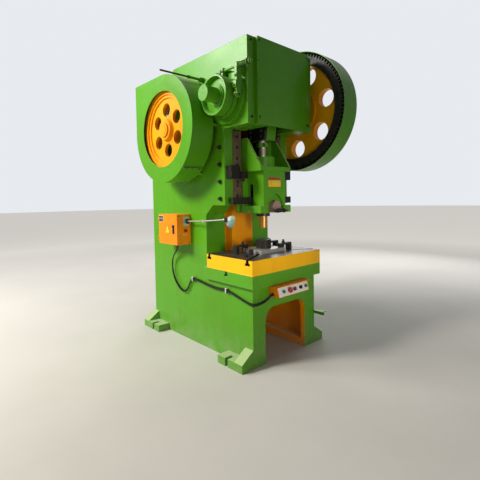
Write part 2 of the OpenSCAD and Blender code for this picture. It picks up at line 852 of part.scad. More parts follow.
// Control panel on the front of the bed

module panel_box() {
    x1 = panel_left + panel_w;
    side = [[-bed_front, panel_foot], [-panel_foot_y, panel_foot],
            [-panel_top_y, panel_foot + panel_h], [-bed_front, panel_foot + panel_h]];
    hood = [[-bed_front, panel_foot + panel_h], [-panel_top_y - 10, panel_foot + panel_h],
            [-panel_top_y - 10, panel_foot + panel_h + 5], [-bed_front, panel_foot + panel_h + 8]];
    color("orangered") difference() {
        union() {
            profile(side, panel_left, x1);
            profile(hood, panel_left - 3, x1 + 22);
        }
        for (b = panel_buttons) at_panel(b[0]) translate([0, 0, -30]) cylinder(h = 40, r = b[1] + 0.4);
    }
}

// X place and stem radius of each control: start, emergency stop, stop, selector, start
panel_buttons = [[-132, 9], [-65, 11], [-6, 9], [68, 9], [131, 9]];

// Origin on the panel's face at x, with +Z out of the face
module at_panel(x) {
    mid_y = (panel_top_y + panel_foot_y) / 2;
    translate([x, -mid_y, panel_foot + panel_h / 2 + 2]) rotate([90 - panel_tilt, 0, 0]) children();
}

module push_button(x, stem_r, head_r, travel) {
    at_panel(x) {
        translate([0, 0, -travel - 14]) cylinder(h = travel + 16, r = stem_r);
        translate([0, 0, travel + 1]) cylinder(h = 7, r = head_r);
        translate([0, 0, 0]) cylinder(h = travel + 2, r = stem_r);
    }
}

module start_button_left() {
    color("green") push_button(panel_buttons[0][0], panel_buttons[0][1], 13, 6);
}

module start_button_right() {
    color("green") push_button(panel_buttons[4][0], panel_buttons[4][1], 13, 6);
}

module stop_button() {
    color("darkred") push_button(panel_buttons[2][0], panel_buttons[2][1], 15, 6);
}

module emergency_button() {
    color("red") {
        push_button(panel_buttons[1][0], panel_buttons[1][1], 14, 6);
        at_panel(panel_buttons[1][0]) translate([0, 0, 13]) intersection() {
            cylinder(h = 14, r = 21);
            translate([0, 0, -18]) sphere(32);
        }
    }
}

module selector_knob() {
    color("black") at_panel(panel_buttons[3][0]) {
        translate([0, 0, -16]) cylinder(h = 20, r = panel_buttons[3][1]);
        translate([0, 0, 1]) cylinder(h = 9, r = 13);
        translate([-3.5, -13, 9]) cube([7, 26, 11]);
    }
}

// Leads, clipped all the way from the box to the panel

lead_route = [
    [-430, 640, box_foot - 23], [-430, 640.05, box_foot - 32], [-427, 652, box_foot - 48],
    [-418, 690, box_foot - 74], [-404, 738, box_foot - 103], [-393, 778, box_foot - 143],
    [-387, 799, 665], [-383, 802, 605], [-381, 786, 550], [-380, 750, 498], [-379, 700, 455],
    [-378, 645, 432], [-377, 600, 440], [-376, 565, 478], [-375, 536, 528], [-373, 505, 562],
    [-373, 460, 566], [-373, 400, 562], [-373, 330, 552], [-373, 250, 542], [-373, 160, 538],
    [-373, 90, 541], [-373, 35, 541], [-374, -30, 530], [-376, -100, 514], [-380, -170, 500],
    [-380, -220, 490], [-368, -248, 484], [-340, -254, 481], [-300, -256, 484], [-260, -262, 495],
    [-234, -269, 511], [-214, -275, 528], [-204, -276, 534],
    [-196, -276, 534]
];
lead_shift = [-10, -9, -8];

function ring_of(points, i, r, sides) =
    let (n = len(points), a = points[max(i - 1, 0)], b = points[min(i + 1, n - 1)],
         d = (b - a) / norm(b - a), s = cross(d, [0, 0, 1]), u = s / max(norm(s), 0.001), v = cross(u, d))
    [for (k = [0 : sides - 1]) points[i] + r * cos(360 * k / sides) * u + r * sin(360 * k / sides) * v];

module tube(points, r, sides = 8) {
    n = len(points);
    rings = [for (i = [0 : n - 1]) each ring_of(points, i, r, sides)];
    walls = [for (i = [0 : n - 2], k = [0 : sides - 1])
        [i * sides + k, i * sides + (k + 1) % sides, (i + 1) * sides + (k + 1) % sides, (i + 1) * sides + k]];
    first = [for (k = [0 : sides - 1]) sides - 1 - k];
    last = [for (k = [0 : sides - 1]) (n - 1) * sides + k];
    polyhedron(rings, concat([first], walls, [last]), convexity = 6);
}

module control_leads() {
    color("black") {
        tube(lead_route, lead_d / 2);
        tube([for (p = lead_route) p + lead_shift], lead_d / 2);
    }
}

// Glands under the box, the panel's grommets and the clips that hold the leads to the cheek
module cable_fittings() {
    color("black") {
        for (i = [0, 1]) let (a = lead_route[0] + i * lead_shift, n = len(lead_route) - 1,
                              b = lead_route[n] + i * lead_shift) {
            shaft_z(a[0], a[1], a[2], box_foot - a[2], lead_d / 2 + 3);
            shaft(b[0], panel_left, lead_d / 2 + 1, b[1], b[2]);
        }
        for (p = [[480, 560], [35, 537]]) difference() {
            block([-side_x - 28, p[0] - 6, p[1] - 19], [-side_x, p[0] + 6, p[1] + 19]);
            block([-side_x - 25, p[0] - 7, p[1] - 16], [-side_x + 1, p[0] + 7, p[1] + 16]);
        }
    }
}

// Work lamp

lamp_foot = [-side_x - 51, box_front - 24, lamp_z];
lamp_elbow = [-side_x - 75, box_front - 292, lamp_z + 13];
lamp_neck = [-side_x - 75, box_front - 551, lamp_z + 34];
lamp_aim = [0.78, -0.6, -0.12];

module lamp_base() {
    color("cadetblue") {
        block([-side_x - 75, box_front - 14, lamp_z - 38], [-side_x - 27, box_front, lamp_z + 38]);
        shaft_at(lamp_foot - [0, 0, 12], 9, 5.9);
        shaft_at(lamp_foot + [0, 0, 3], 9, 5.9);
        block(lamp_foot + [-6, 0, -12], lamp_foot + [6, 11, -8]);
        block(lamp_foot + [-6, 0, 8], lamp_foot + [6, 11, 12]);
    }
}

module shaft_at(p, h, r) {
    translate(p) cylinder(h = h, r = r);
}

module lamp_lower_arm() {
    dir = (lamp_elbow - lamp_foot) / norm(lamp_elbow - lamp_foot);
    color("silver") {
        shaft_at(lamp_foot - [0, 0, 2.5], 5, 8);
        bar(lamp_foot + 6 * dir, lamp_elbow - 12 * dir, 2.4);
        bar(lamp_foot + 16 * dir, lamp_elbow - 16 * dir, 5.5);
        for (dz = [-12, 6]) {
            shaft_at(lamp_elbow + [0, 0, dz], 6, 10);
            block(lamp_elbow + [-4, 0, dz], lamp_elbow + [4, 18, dz + 6]);
        }
        block(lamp_elbow + [-4, 10.5, -12], lamp_elbow + [4, 18, 12]);
    }
}

module lamp_upper_arm() {
    dir = (lamp_neck - lamp_elbow) / norm(lamp_neck - lamp_elbow);
    color("silver") {
        shaft_at(lamp_elbow - [0, 0, 5.7], 11.4, 10);
        bar(lamp_elbow + 8 * dir, lamp_neck - 8 * dir, 5);
        translate(lamp_neck) sphere(10);
    }
}

// The shade: a spun bell open to its front, with the bulb inside
module lamp_shade() {
    yaw = atan2(lamp_aim[1], lamp_aim[0]);
    pitch = acos(lamp_aim[2] / norm(lamp_aim));
    color("cadetblue") translate(lamp_neck) rotate([0, pitch, yaw]) {
        difference() {
            rotate_extrude() polygon([[0, 10.5], [12, 10.5], [16, 16], [20, 34], [34, 44], [43, 56],
                                      [shade_r, 70], [shade_r - 2, 70], [41, 57], [32, 46], [17, 36], [0, 36]]);
            sphere(10 + free_gap);
        }
        translate([0, 0, 35]) cylinder(h = 12, r = 9);
        translate([0, 0, 54]) sphere(13);
    }
}

// Brackets of the levers: the hand lever's fork, the treadle's pivot and the pull rod's guide

hand_y = 306;
hand_z = 2211;
hand_lever_l = 395;
treadle_y = 640;
treadle_z = 258;
treadle_x = side_x + 22;
rod_end_z = head_foot - 8;
pull_x = treadle_x + 13;
pull_y = 340;

module lever_brackets() {
    guide_z = rod_end_z - 130;
    color("forestgreen") {
        shaft(-side_x - 14, -side_x, 20, hand_y, hand_z);
        for (y = [hand_y - 13, hand_y + 7]) block([-side_x - 42, y, hand_z - 14], [-side_x - 13, y + 6, hand_z + 14]);
        translate([-side_x - 32, hand_y - 13, hand_z]) rotate([-90, 0, 0]) cylinder(h = 26, r = 4);
        shaft(side_x, treadle_x + 20, 10, treadle_y, treadle_z);
        shaft(side_x, treadle_x - 0.5, 24, treadle_y, treadle_z);
        shaft(treadle_x + 12.5, treadle_x + 18, 16, treadle_y, treadle_z);
        difference() {
            block([side_x, pull_y - 15, guide_z], [pull_x + 16, pull_y + 15, guide_z + 24]);
            translate([pull_x, pull_y, guide_z - 1]) cylinder(h = 26, r = 8 + run_gap);
        }
    }
}

module hand_lever() {
    color("darkslategray") difference() {
        union() {
            translate([-side_x - 32, hand_y - 6.5, hand_z]) rotate([-90, 0, 0]) cylinder(h = 13, r = 11);
            shaft(-side_x - 135, -side_x - 48, 10, hand_y, hand_z);
            block([-side_x - 49, hand_y - 6.5, hand_z - 8], [-side_x - 32, hand_y + 6.5, hand_z + 8]);
            shaft(-side_x - 147, -side_x - 135, 14, hand_y, hand_z);
            shaft(-side_x - hand_lever_l, -side_x - 147, 7, hand_y, hand_z);
        }
        translate([-side_x - 32, hand_y - 10, hand_z]) rotate([-90, 0, 0]) cylinder(h = 20, r = 4 + run_gap);
    }
}

module treadle_lever() {
    color("forestgreen") difference() {
        union() {
            block([treadle_x, -bed_front - 81, treadle_z - 13], [treadle_x + 12, treadle_y, treadle_z + 13]);
            shaft(treadle_x, treadle_x + 12, 24, treadle_y, treadle_z);
            block([treadle_x - 14, -bed_front - 81, treadle_z + 13], [treadle_x + 46, -bed_front - 11, treadle_z + 18]);
            shaft(treadle_x + 11, treadle_x + 26, 6, pull_y, treadle_z);
        }
        shaft(treadle_x - 1, treadle_x + 13, 10 + run_gap, treadle_y, treadle_z);
    }
}

module pull_rod() {
    color("silver") {
        translate([pull_x, pull_y, treadle_z + 22]) cylinder(h = rod_end_z - treadle_z - 22, r = 8);
        difference() {
            block([pull_x - 0.5, pull_y - 16, treadle_z - 18], [pull_x + 8, pull_y + 16, treadle_z + 30]);
            shaft(pull_x - 2, pull_x + 10, 9.5, pull_y, treadle_z);
        }
        translate([pull_x, pull_y, rod_end_z - 22]) cylinder(h = 14, r = 14, $fn = 6);
    }
}

// Ram and what it carries

module v_groove() {
    apex = nose_x - gib_gap * sqrt(2);
    reach = slab_x + 2 - apex;
    translate([0, 0, ram_foot - 1]) linear_extrude(ram_top - ram_foot + 2)
        polygon([[apex, nose_y], [slab_x + 2, nose_y - reach], [slab_x + 2, nose_y + reach]]);
}

module ram() {
    gusset_t = 17;
    crown_front = body_front + 21;
    flange_front = body_front + 16;
    flange_rear = slab_rear + 6;
    color("limegreen") difference() {
        union() {
            block([-slab_x, slab_front, ram_foot], [slab_x, slab_rear, ram_top]);
            block([-slab_x - 1, -flange_front, ram_foot], [slab_x + 1, slab_front + 1, ram_foot + flange_t]);
            block([-body_x, slab_rear - 1, ram_foot], [body_x, flange_rear, ram_foot + flange_t]);
            block([-body_x, -body_front, ram_foot + 1], [body_x, slab_front + 1, crown_z + 1]);
            block([-slab_x, -crown_front, crown_z], [slab_x, slab_front + 1, ball_z]);
            both_sides() profile([[-crown_front, ball_z - 1], [-crown_front, ball_z], [-1, ram_top],
                                  [slab_front + 1, ram_top], [slab_front + 1, ball_z - 1]],
                                 slab_x - gusset_t, slab_x);
        }
        both_sides() v_groove();
        block([-rod_x - 36, slab_front - 2, ball_z], [rod_x + 36, slab_rear + 1, ram_top + 1]);
        block([-body_x - 1, -bar_t / 2 - 3, ram_foot + 71], [body_x + 1, bar_t / 2 + 3, ram_foot + 184]);
        translate([0, 0, ball_z]) sphere(ball_r + free_gap);
        translate([0, 0, ram_foot - 1]) cylinder(h = 64, r = 25);
        translate([0, -flange_front - 1, ram_foot + 58]) rotate([-90, 0, 0])
            cylinder(h = flange_front - body_front + 21, r = 95);
        translate([0, 0, ram_foot - 1]) block([-52, -body_front + 1, 0], [52, -body_front + 60, 50]);
    }
}

module ball_cap() {
    color("limegreen") difference() {
        translate([0, 0, ball_z]) cylinder(h = cap_t, r = cap_r);
        translate([0, 0, ball_z]) sphere(ball_r + free_gap);
        translate([0, 0, ball_z + 10]) cylinder(h = cap_t, r = screw_r + 3);
    }
}

// The clamp that holds the punch's shank, with its two studs and nuts
module shank_clamp() {
    y1 = 20 - body_front;
    y0 = -body_front - 24;
    color("rosybrown") {
        difference() {
            union() {
                translate([0, y1, ram_foot + 48]) rotate([90, 0, 0]) cylinder(h = y1 - y0, r = 48);
                block([-48, y0, ram_foot + 2], [48, y1, ram_foot + 48]);
            }
        }
        for (x = [-27, 27]) translate([x, y0 + 1, ram_foot + 27]) rotate([90, 0, 0]) {
            cylinder(h = 14, r = 15, $fn = 6);
            cylinder(h = 26, r = 8);
        }
    }
}

module punch() {
    collar_t = 32;
    color("goldenrod") {
        translate([0, 0, ram_foot - 1]) cylinder(h = 61, r = 25 - eps);
        translate([0, 0, ram_foot - collar_t]) cylinder(h = collar_t, r = 56);
        translate([0, 0, ram_foot - collar_t - punch_l]) cylinder(h = punch_l + 1, r = punch_r);
    }
}

module knockout_bar() {
    color("black") block([-bar_x, -bar_t / 2, bar_foot], [bar_x, bar_t / 2, bar_foot + bar_h]);
}

// Connecting rod. Its eye is a slot, which gives the crankpin room to swing
module connecting_rod() {
    eye_half = eye_r + 38;
    bore_top = eye_z - eye_r - 20;
    color("forestgreen") difference() {
        union() {
            profile([[-rod_y, rod_foot], [rod_y, rod_foot], [rod_y, rod_foot + 110], [eye_half - 40, eye_z - eye_half],
                     [eye_half + throw, eye_z - eye_half], [eye_half + throw, eye_z + eye_half - 40],
                     [eye_half + throw - 40, eye_z + eye_half], [40 - eye_half, eye_z + eye_half],
                     [-eye_half, eye_z + eye_half - 40], [-eye_half, eye_z - eye_half + 40]], -rod_x, rod_x);
            for (z = [rod_foot + 30, rod_foot + 75], y = [-62, 62])
                shaft(-rod_x - 14, rod_x + 14, 12, y, z);
        }
        shaft(-rod_x - 1, rod_x + 1, eye_r, 0, eye_z);
        shaft(-rod_x - 1, rod_x + 1, eye_r, throw, eye_z);
        block([-rod_x - 1, 0, eye_z - eye_r + 0.2], [rod_x + 1, throw, eye_z + eye_r - 0.2]);
        translate([0, 0, rod_foot - 1]) cylinder(h = bore_top - rod_foot + 1, r = screw_r + run_gap);
        block([-2, -rod_y - 1, rod_foot - 1], [2, 1 - screw_r, rod_foot + 105]);
    }
}

module adjusting_screw() {
    top = eye_z - eye_r - 42;
    color("silver") {
        difference() {
            translate([0, 0, ball_z]) sphere(ball_r);
            block([-ball_r, -ball_r, ball_z - ball_r - 1], [ball_r, ball_r, ball_z - ball_r + 6]);
        }
        translate([0, 0, ball_z + 20]) cylinder(h = top - ball_z - 20, r = screw_r);
        difference() {
            translate([0, 0, nut_top - nut_t]) cylinder(h = nut_t, r = 51);
            for (a = [0 : 60 : 300]) rotate([0, 0, a]) translate([51, 0, nut_top - nut_t - 1])
                cylinder(h = nut_t + 2, r = 7);
        }
    }
}

module crankshaft() {
    web_w = 45;
    right_end = gear_x + gear_w + 8;
    color("silver") {
        shaft(-guard_out + 4, -drum_x - drum_w + 18, 56, 0, crank_z);
        shaft(-drum_x - drum_w + 17, -rod_x - 5, journal_r, 0, crank_z);
        shaft(rod_x + 5, right_end, journal_r, 0, crank_z);
        shaft(right_end - eps, right_end + 20, 95, 0, crank_z);
        both_sides() shaft(rod_x + 4, rod_x + 4 + web_w, pin_r + throw - 4, 0, crank_z + throw / 2);
        shaft(-rod_x - 5, rod_x + 5, pin_r, 0, crank_z + throw);
    }
}

module brake_drum() {
    x0 = -drum_x - drum_w;
    rim = 13;
    color("forestgreen") difference() {
        shaft(x0, -drum_x, drum_r, 0, crank_z);
        shaft(x0 - 1, x0 + 36, drum_r - rim, 0, crank_z);
        shaft(x0 + 58, 1 - drum_x, drum_r - rim, 0, crank_z);
        shaft(x0 - 1, 1 - drum_x, journal_r, 0, crank_z);
    }
}

module big_gear() {
    x1 = gear_x + gear_w;
    rim_r = 411;
    color("orange") difference() {
        translate([0, 0, crank_z]) profile(gear_points(gear_teeth, mesh_angle), gear_x, x1);
        difference() {
            union() {
                shaft(gear_x - 1, gear_x + 30, rim_r, 0, crank_z);
                shaft(x1 - 30, x1 + 1, rim_r, 0, crank_z);
            }
            shaft(gear_x - 2, x1 + 2, 205, 0, crank_z);
        }
        shaft(gear_x - 1, gear_x + 14, 205 + 1, 0, crank_z);
        for (i = [0 : gear_holes - 1]) let (a = 166 + i * 360 / gear_holes)
            shaft(gear_x - 1, x1 + 1, web_hole_r, web_hole_ring * cos(a), crank_z + web_hole_ring * sin(a));
        shaft(gear_x - 1, x1 + 1, journal_r + run_gap, 0, crank_z);
    }
}

module pinion_shaft() {
    color("silver") union() {
        shaft(-shaft_end, gear_x + gear_w + 15, back_r, back_y, back_z);
        translate([0, back_y, back_z])
            profile(gear_points(pinion_teeth, mesh_angle + 180 + 180 / pinion_teeth), gear_x, gear_x + gear_w);
    }
}

// Flywheel: grooved rim, stepped web with six holes, and hub
module flywheel() {
    color("orange") difference() {
        wheel_about(back_y, back_z) polygon(concat(
            [[wheel_hub_r, wheel_in], [wheel_r - 40, wheel_in], [wheel_r - 40, wheel_in + 2], [wheel_r, wheel_in + 2]],
            [for (p = grooves(wheel_in, 26, wheel_r)) [p[1], p[0]]],
            [[wheel_r, wheel_out], [wheel_r - 51, wheel_out], [wheel_r - 51, wheel_out - 13],
             [wheel_r - 74, wheel_out - 13], [wheel_r - 74, wheel_out - 25], [wheel_hub_r, wheel_out - 25],
             [wheel_hub_r - 12, wheel_out + 4], [60, wheel_out + 4], [60, wheel_out + 17],
             [back_r, wheel_out + 17], [back_r, wheel_in - 25], [wheel_hub_r, wheel_in - 25]]));
        difference() {
            shaft(-wheel_in + 1, -wheel_out + 53, wheel_r - 60, back_y, back_z);
            shaft(-wheel_in + 2, -wheel_out, wheel_hub_r, back_y, back_z);
        }
        for (i = [0 : 5]) let (a = 27 + i * 60)
            shaft(-wheel_out - 1, -wheel_in + 1, 56, back_y + 168 * cos(a), back_z + 168 * sin(a));
    }
}

module motor_pulley() {
    x0 = wheel_in + 10;
    x1 = x0 + 32 + (belt_count - 1) * groove_pitch;
    color("dimgray") {
        wheel_about(motor_y, motor_z) polygon(concat([[0, x0], [pulley_r, x0]],
            [for (p = grooves(x0, 16, pulley_r)) [p[1], p[0]]], [[pulley_r, x1], [0, x1]]));
        shaft(-x0 - 1, motor_left + 15, 19, motor_y, motor_z);
    }
}

left_cheek();
right_cheek();
bed_front_plate();
rear_plate();
throat_column();
head_plates();
table_plate();
bolster_plate();
foot_pads();
front_cover();
frame_screws();
gib_rails();
crank_bearings();
back_shaft_bearings();
belt_guard();
gear_guard();
motor();
motor_bracket();
drive_belts();
brake_band();
brake_lining();
brake_bracket();
brake_spring();
stop_blocks();
die_shoe();
die_block();
strap_clamps();
clamp_studs();
electrical_box();
cable_fittings();
control_leads();
lamp_base();
panel_box();
lever_brackets();
ram();
ball_cap();
shank_clamp();
punch();
knockout_bar();
connecting_rod();
adjusting_screw();
crankshaft();
brake_drum();
big_gear();
pinion_shaft();
flywheel();
motor_pulley();
box_door();
lamp_lower_arm();
lamp_upper_arm();
lamp_shade();
start_button_left();
start_button_right();
emergency_button();
stop_button();
selector_knob();
box_button();
hand_lever();
treadle_lever();
pull_rod();
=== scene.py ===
import math

import bmesh
import bpy
from mathutils import Matrix, Vector


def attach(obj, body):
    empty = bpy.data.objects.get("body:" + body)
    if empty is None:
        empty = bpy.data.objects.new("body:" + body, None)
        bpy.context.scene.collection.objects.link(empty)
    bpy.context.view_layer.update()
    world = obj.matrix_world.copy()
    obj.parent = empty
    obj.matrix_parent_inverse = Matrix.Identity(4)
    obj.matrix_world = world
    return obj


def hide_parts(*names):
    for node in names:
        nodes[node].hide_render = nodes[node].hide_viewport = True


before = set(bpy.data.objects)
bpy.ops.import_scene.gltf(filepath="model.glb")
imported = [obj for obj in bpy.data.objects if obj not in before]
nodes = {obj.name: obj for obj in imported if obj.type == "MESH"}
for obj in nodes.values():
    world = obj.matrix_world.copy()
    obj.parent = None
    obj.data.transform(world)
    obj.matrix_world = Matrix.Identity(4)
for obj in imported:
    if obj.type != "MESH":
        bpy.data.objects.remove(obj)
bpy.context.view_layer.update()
print("press frame loaded:", len(nodes), "solids")


# the camera of the photograph, fitted from the press's own edges
cameraView = {
    "eye": (-2.1981, -2.1341, 1.2667), "heading": 42.24, "down": 2.75, "roll": -0.94,
    "lens": 27.64, "sensor": 36, "shiftY": -0.0542, "clip": (0.05, 80),
}


def makeCamera(view):
    turn, down, roll = (math.radians(view[key]) for key in ("heading", "down", "roll"))
    forward = Vector((math.sin(turn) * math.cos(down), math.cos(turn) * math.cos(down), -math.sin(down)))
    right = Vector((math.cos(turn), -math.sin(turn), 0))
    up = right.cross(forward)
    across = right * math.cos(roll) + up * math.sin(roll)
    upright = up * math.cos(roll) - right * math.sin(roll)
    data = bpy.data.cameras.new("pressCamera")
    data.sensor_width = view["sensor"]
    data.lens = view["lens"]
    data.shift_y = view["shiftY"]
    data.clip_start, data.clip_end = view["clip"]
    camera = bpy.data.objects.new("pressCamera", data)
    camera.matrix_world = Matrix((across, upright, -forward)).transposed().to_4x4()
    camera.location = view["eye"]
    bpy.context.scene.collection.objects.link(camera)
    bpy.context.scene.camera = camera


makeCamera(cameraView)
print("camera placed")


# short forms for shader trees
def feed(tree, made, feeds):  # a socket is linked, and anything else is set as the input's own value
    for key, value in feeds.items():
        if isinstance(value, bpy.types.NodeSocket):
            tree.links.new(value, made.inputs[key])
        else:
            made.inputs[key].default_value = value


def add(tree, kind, feeds=None, **settings):
    made = tree.nodes.new("ShaderNode" + kind)
    for key, value in settings.items():
        setattr(made, key, value)
    feed(tree, made, feeds or {})
    return made


def calc(tree, operation, first, second=0.0, clamp=False):
    return add(tree, "Math", {0: first, 1: second}, operation=operation, use_clamp=clamp).outputs[0]


def fit(tree, value, low, high, toLow=0.0, toHigh=1.0):
    feeds = {"Value": value, "From Min": low, "From Max": high, "To Min": toLow, "To Max": toHigh}
    return add(tree, "MapRange", feeds, clamp=True).outputs[0]


def mixColour(tree, factor, first, second, blend="MIX"):
    return add(tree, "Mix", {0: factor, 6: first, 7: second}, data_type="RGBA", blend_type=blend).outputs[2]


def mixValue(tree, factor, first, second):
    return add(tree, "Mix", {0: factor, 2: first, 3: second}, data_type="FLOAT").outputs[0]


def noiseAt(tree, place, scale, detail, roughness, stretch=None):
    if stretch:
        place = add(tree, "Mapping", {"Vector": place, "Scale": stretch}).outputs[0]
    feeds = {"Vector": place, "Scale": scale, "Detail": detail, "Roughness": roughness}
    return add(tree, "TexNoise", feeds).outputs["Fac"]


def place(tree):
    return add(tree, "TexCoord").outputs["Object"]


def axes(tree, vector):
    return add(tree, "SeparateXYZ", {0: vector}).outputs


def normalAxes(tree, kind="Normal"):
    return axes(tree, add(tree, "NewGeometry").outputs[kind])


def lengthOf(tree, vector):
    return add(tree, "VectorMath", {0: vector}, operation="LENGTH").outputs["Value"]


def times(tree, first, second, clamp=False):
    return calc(tree, "MULTIPLY", first, second, clamp)


def over(tree, value, limit):
    return calc(tree, "GREATER_THAN", value, limit)


def under(tree, value, limit):
    return calc(tree, "LESS_THAN", value, limit)


def sizeOf(tree, value):
    return calc(tree, "ABSOLUTE", value)


def between(tree, value, ends):
    return times(tree, over(tree, value, ends[0]), under(tree, value, ends[1]))


def startGroup(name, inputs, outputs):  # inputs are (name, kind, start) and outputs are (name, kind)
    tree = bpy.data.node_groups.new(name, "ShaderNodeTree")
    for label, kind, start in inputs:
        socket = tree.interface.new_socket(label, in_out="INPUT", socket_type="NodeSocket" + kind)
        socket.default_value = start
    for label, kind in outputs:
        tree.interface.new_socket(label, in_out="OUTPUT", socket_type="NodeSocket" + kind)
    return tree, tree.nodes.new("NodeGroupInput").outputs, tree.nodes.new("NodeGroupOutput").inputs


def put(tree, group, feeds):
    made = tree.nodes.new("ShaderNodeGroup")
    made.node_tree = group
    feed(tree, made, feeds)
    return made.outputs


# effects that several finishes share
def edgeWearAndHighlightGroup():  # a mask of worn patches along sharp edges (Edge), the whole sharp edge (Rim, which carries painted edge highlights), and the normal of a softly rounded edge
    tree, given, result = startGroup(
        "worn edge",
        [("Radius", "Float", 0.004), ("Wear", "Float", 0.5)],
        [("Edge", "Float"), ("Rim", "Float"), ("Normal", "Vector")])
    soft = add(tree, "Bevel", {"Radius": given["Radius"]}, samples=4).outputs[0]
    flat = add(tree, "NewGeometry").outputs["Normal"]
    facing = add(tree, "VectorMath", {0: soft, 1: flat}, operation="DOT_PRODUCT").outputs["Value"]
    sharp = fit(tree, facing, 0.995, 0.8)
    patches = noiseAt(tree, place(tree), 55, 5, 0.65)
    worn = fit(tree, calc(tree, "ADD", patches, times(tree, given["Wear"], 0.3)), 0.62, 0.72)
    tree.links.new(times(tree, sharp, worn, True), result["Edge"])
    tree.links.new(sharp, result["Rim"])
    tree.links.new(soft, result["Normal"])
    return tree


def paintFilmGroup():  # hand-sprayed enamel: slow colour drift, faint runs, orange peel
    tree, given, result = startGroup(
        "paint film",
        [("Paint", "Color", (0.1, 0.4, 0.02, 1)), ("Drift", "Float", 0.5), ("Gloss", "Float", 0.28)],
        [("Color", "Color"), ("Roughness", "Float"), ("Height", "Float")])
    here = place(tree)
    slow = noiseAt(tree, here, 2.3, 3, 0.5)
    runs = noiseAt(tree, here, 1.0, 4, 0.6, (16, 16, 1.6))
    specks = noiseAt(tree, here, 130, 2, 0.5)
    shade = calc(tree, "ADD", fit(tree, slow, 0.3, 0.7, -1, 1), fit(tree, runs, 0.3, 0.7, -0.5, 0.5))
    shade = times(tree, shade, times(tree, given["Drift"], 0.13))
    bright = calc(tree, "ADD", shade, 1.0)
    hue = calc(tree, "ADD", times(tree, shade, 0.06), 0.5)
    feeds = {"Color": given["Paint"], "Value": bright, "Saturation": 1.0, "Hue": hue}
    tree.links.new(add(tree, "HueSaturation", feeds).outputs[0], result["Color"])
    dull = calc(tree, "ADD", fit(tree, slow, 0.35, 0.7, -0.05, 0.09), fit(tree, specks, 0.45, 0.75, 0, 0.05))
    tree.links.new(calc(tree, "ADD", given["Gloss"], dull, True), result["Roughness"])
    peel = times(tree, noiseAt(tree, here, 210, 2, 0.4), 0.16)
    wave = noiseAt(tree, here, 9, 2, 0.4)
    tree.links.new(calc(tree, "ADD", peel, wave), result["Height"])
    return tree


def floorDustGroup():  # pale dust low on the machine and on its upward faces
    tree, given, result = startGroup(
        "floor dust", [("Reach", "Float", 0.35), ("Amount", "Float", 0.4)], [("Dust", "Float")])
    here = place(tree)
    low = fit(tree, axes(tree, here)["Z"], given["Reach"], 0.0)
    cloud = fit(tree, noiseAt(tree, here, 6.5, 6, 0.7), 0.35, 0.7)
    up = fit(tree, normalAxes(tree)["Z"], 0.5, 0.95, 0, 0.45)
    both = calc(tree, "MAXIMUM", calc(tree, "POWER", low, 1.6), up)
    tree.links.new(times(tree, times(tree, both, cloud), given["Amount"], True), result["Dust"])
    return tree


def oilFilmGroup():  # dark grease in patches and downward runs
    tree, given, result = startGroup(
        "oil film", [("Spread", "Float", 0.5), ("Size", "Float", 18.0)], [("Oil", "Float")])
    here = place(tree)
    blots = noiseAt(tree, here, given["Size"], 5, 0.65)
    runs = noiseAt(tree, here, 1.0, 4, 0.6, (60, 60, 5))
    both = calc(tree, "ADD", times(tree, blots, 0.65), times(tree, runs, 0.35))
    edge = calc(tree, "SUBTRACT", 0.72, times(tree, given["Spread"], 0.4))
    tree.links.new(fit(tree, both, edge, calc(tree, "ADD", edge, 0.14)), result["Oil"])
    return tree


def toolMarksGroup():  # fine parallel marks of a planer or a lathe
    tree, given, result = startGroup(
        "tool marks", [("Stretch", "Vector", (4, 220, 220))], [("Marks", "Float"), ("Stain", "Float")])
    here = place(tree)
    spread = add(tree, "Mapping", {"Vector": here, "Scale": given["Stretch"]}).outputs[0]
    tree.links.new(noiseAt(tree, spread, 1.0, 3, 0.6), result["Marks"])
    tree.links.new(fit(tree, noiseAt(tree, here, 14, 6, 0.7), 0.38, 0.72), result["Stain"])
    return tree


edgeWearAndHighlight = edgeWearAndHighlightGroup()
paintFilm = paintFilmGroup()
floorDust = floorDustGroup()
oilFilm = oilFilmGroup()
toolMarks = toolMarksGroup()
print("shader groups made")


# linear colours, judged against the photograph
colours = {
    # the pale green and the pale orange are the tints of painted highlights
    "green": (0.092, 0.335, 0.009), "highlightGreen": (0.78, 0.87, 0.52),
    "yellow": (0.97, 0.51, 0.002), "boxOrange": (0.93, 0.27, 0.008), "columnOrange": (1.0, 0.38, 0.002),
    "gearOrange": (0.93, 0.37, 0.001), "gearWeb": (1.0, 0.45, 0.003), "highlightOrange": (1.0, 0.72, 0.30),
    "redBrown": (0.30, 0.045, 0.02), "white": (0.80, 0.80, 0.78), "iron": (0.16, 0.15, 0.14),
    "brightWear": (0.55, 0.53, 0.5), "rust": (0.16, 0.10, 0.06), "dust": (0.46, 0.42, 0.34),
    "greaseAndShade": (0.010, 0.010, 0.008), "tar": (0.022, 0.020, 0.017), "oil": (0.012, 0.010, 0.008),
    "planed": (0.11, 0.102, 0.092), "planedStain": (0.05, 0.038, 0.028),
    "slot": (0.012, 0.011, 0.01), "slotStain": (0.03, 0.024, 0.02), "gearGrease": (0.030, 0.028, 0.026),
    "rubberDust": (0.025, 0.023, 0.02), "scuff": (0.5, 0.5, 0.5),
    "floorLow": (0.60, 0.575, 0.54), "floorHigh": (0.66, 0.635, 0.60),
    "skyLight": (0.66, 0.68, 0.66), "skySeen": (0.80, 0.83, 0.87),
}
# where one finish ends and the next starts on a solid, in metres
limits = {
    "bedSide": 0.3256, "bedTop": 0.597, "bedRear": 1.1662, "columnRedBrownFrom": 1.46, "rodSide": 0.052,
    "slotY": (-0.0165, 0.0165), "slotZ": (1.19, 1.36), "panelX": (-0.184, 0.164), "panelZ": (0.5135, 0.5815),
    "crankPaint": -0.372, "shaftPaint": -0.3, "punchTop": 1.0995, "leverPaint": -0.50,
    "nutRadius": 0.0345, "nutLow": 1.6, "bolsterSide": 0.3993, "bolsterMiddle": -0.010,
    "bolsterFace": 0.2643, "bolsterTop": 0.8046, "gearAxis": 2.005, "gearRim": 0.4115,
}


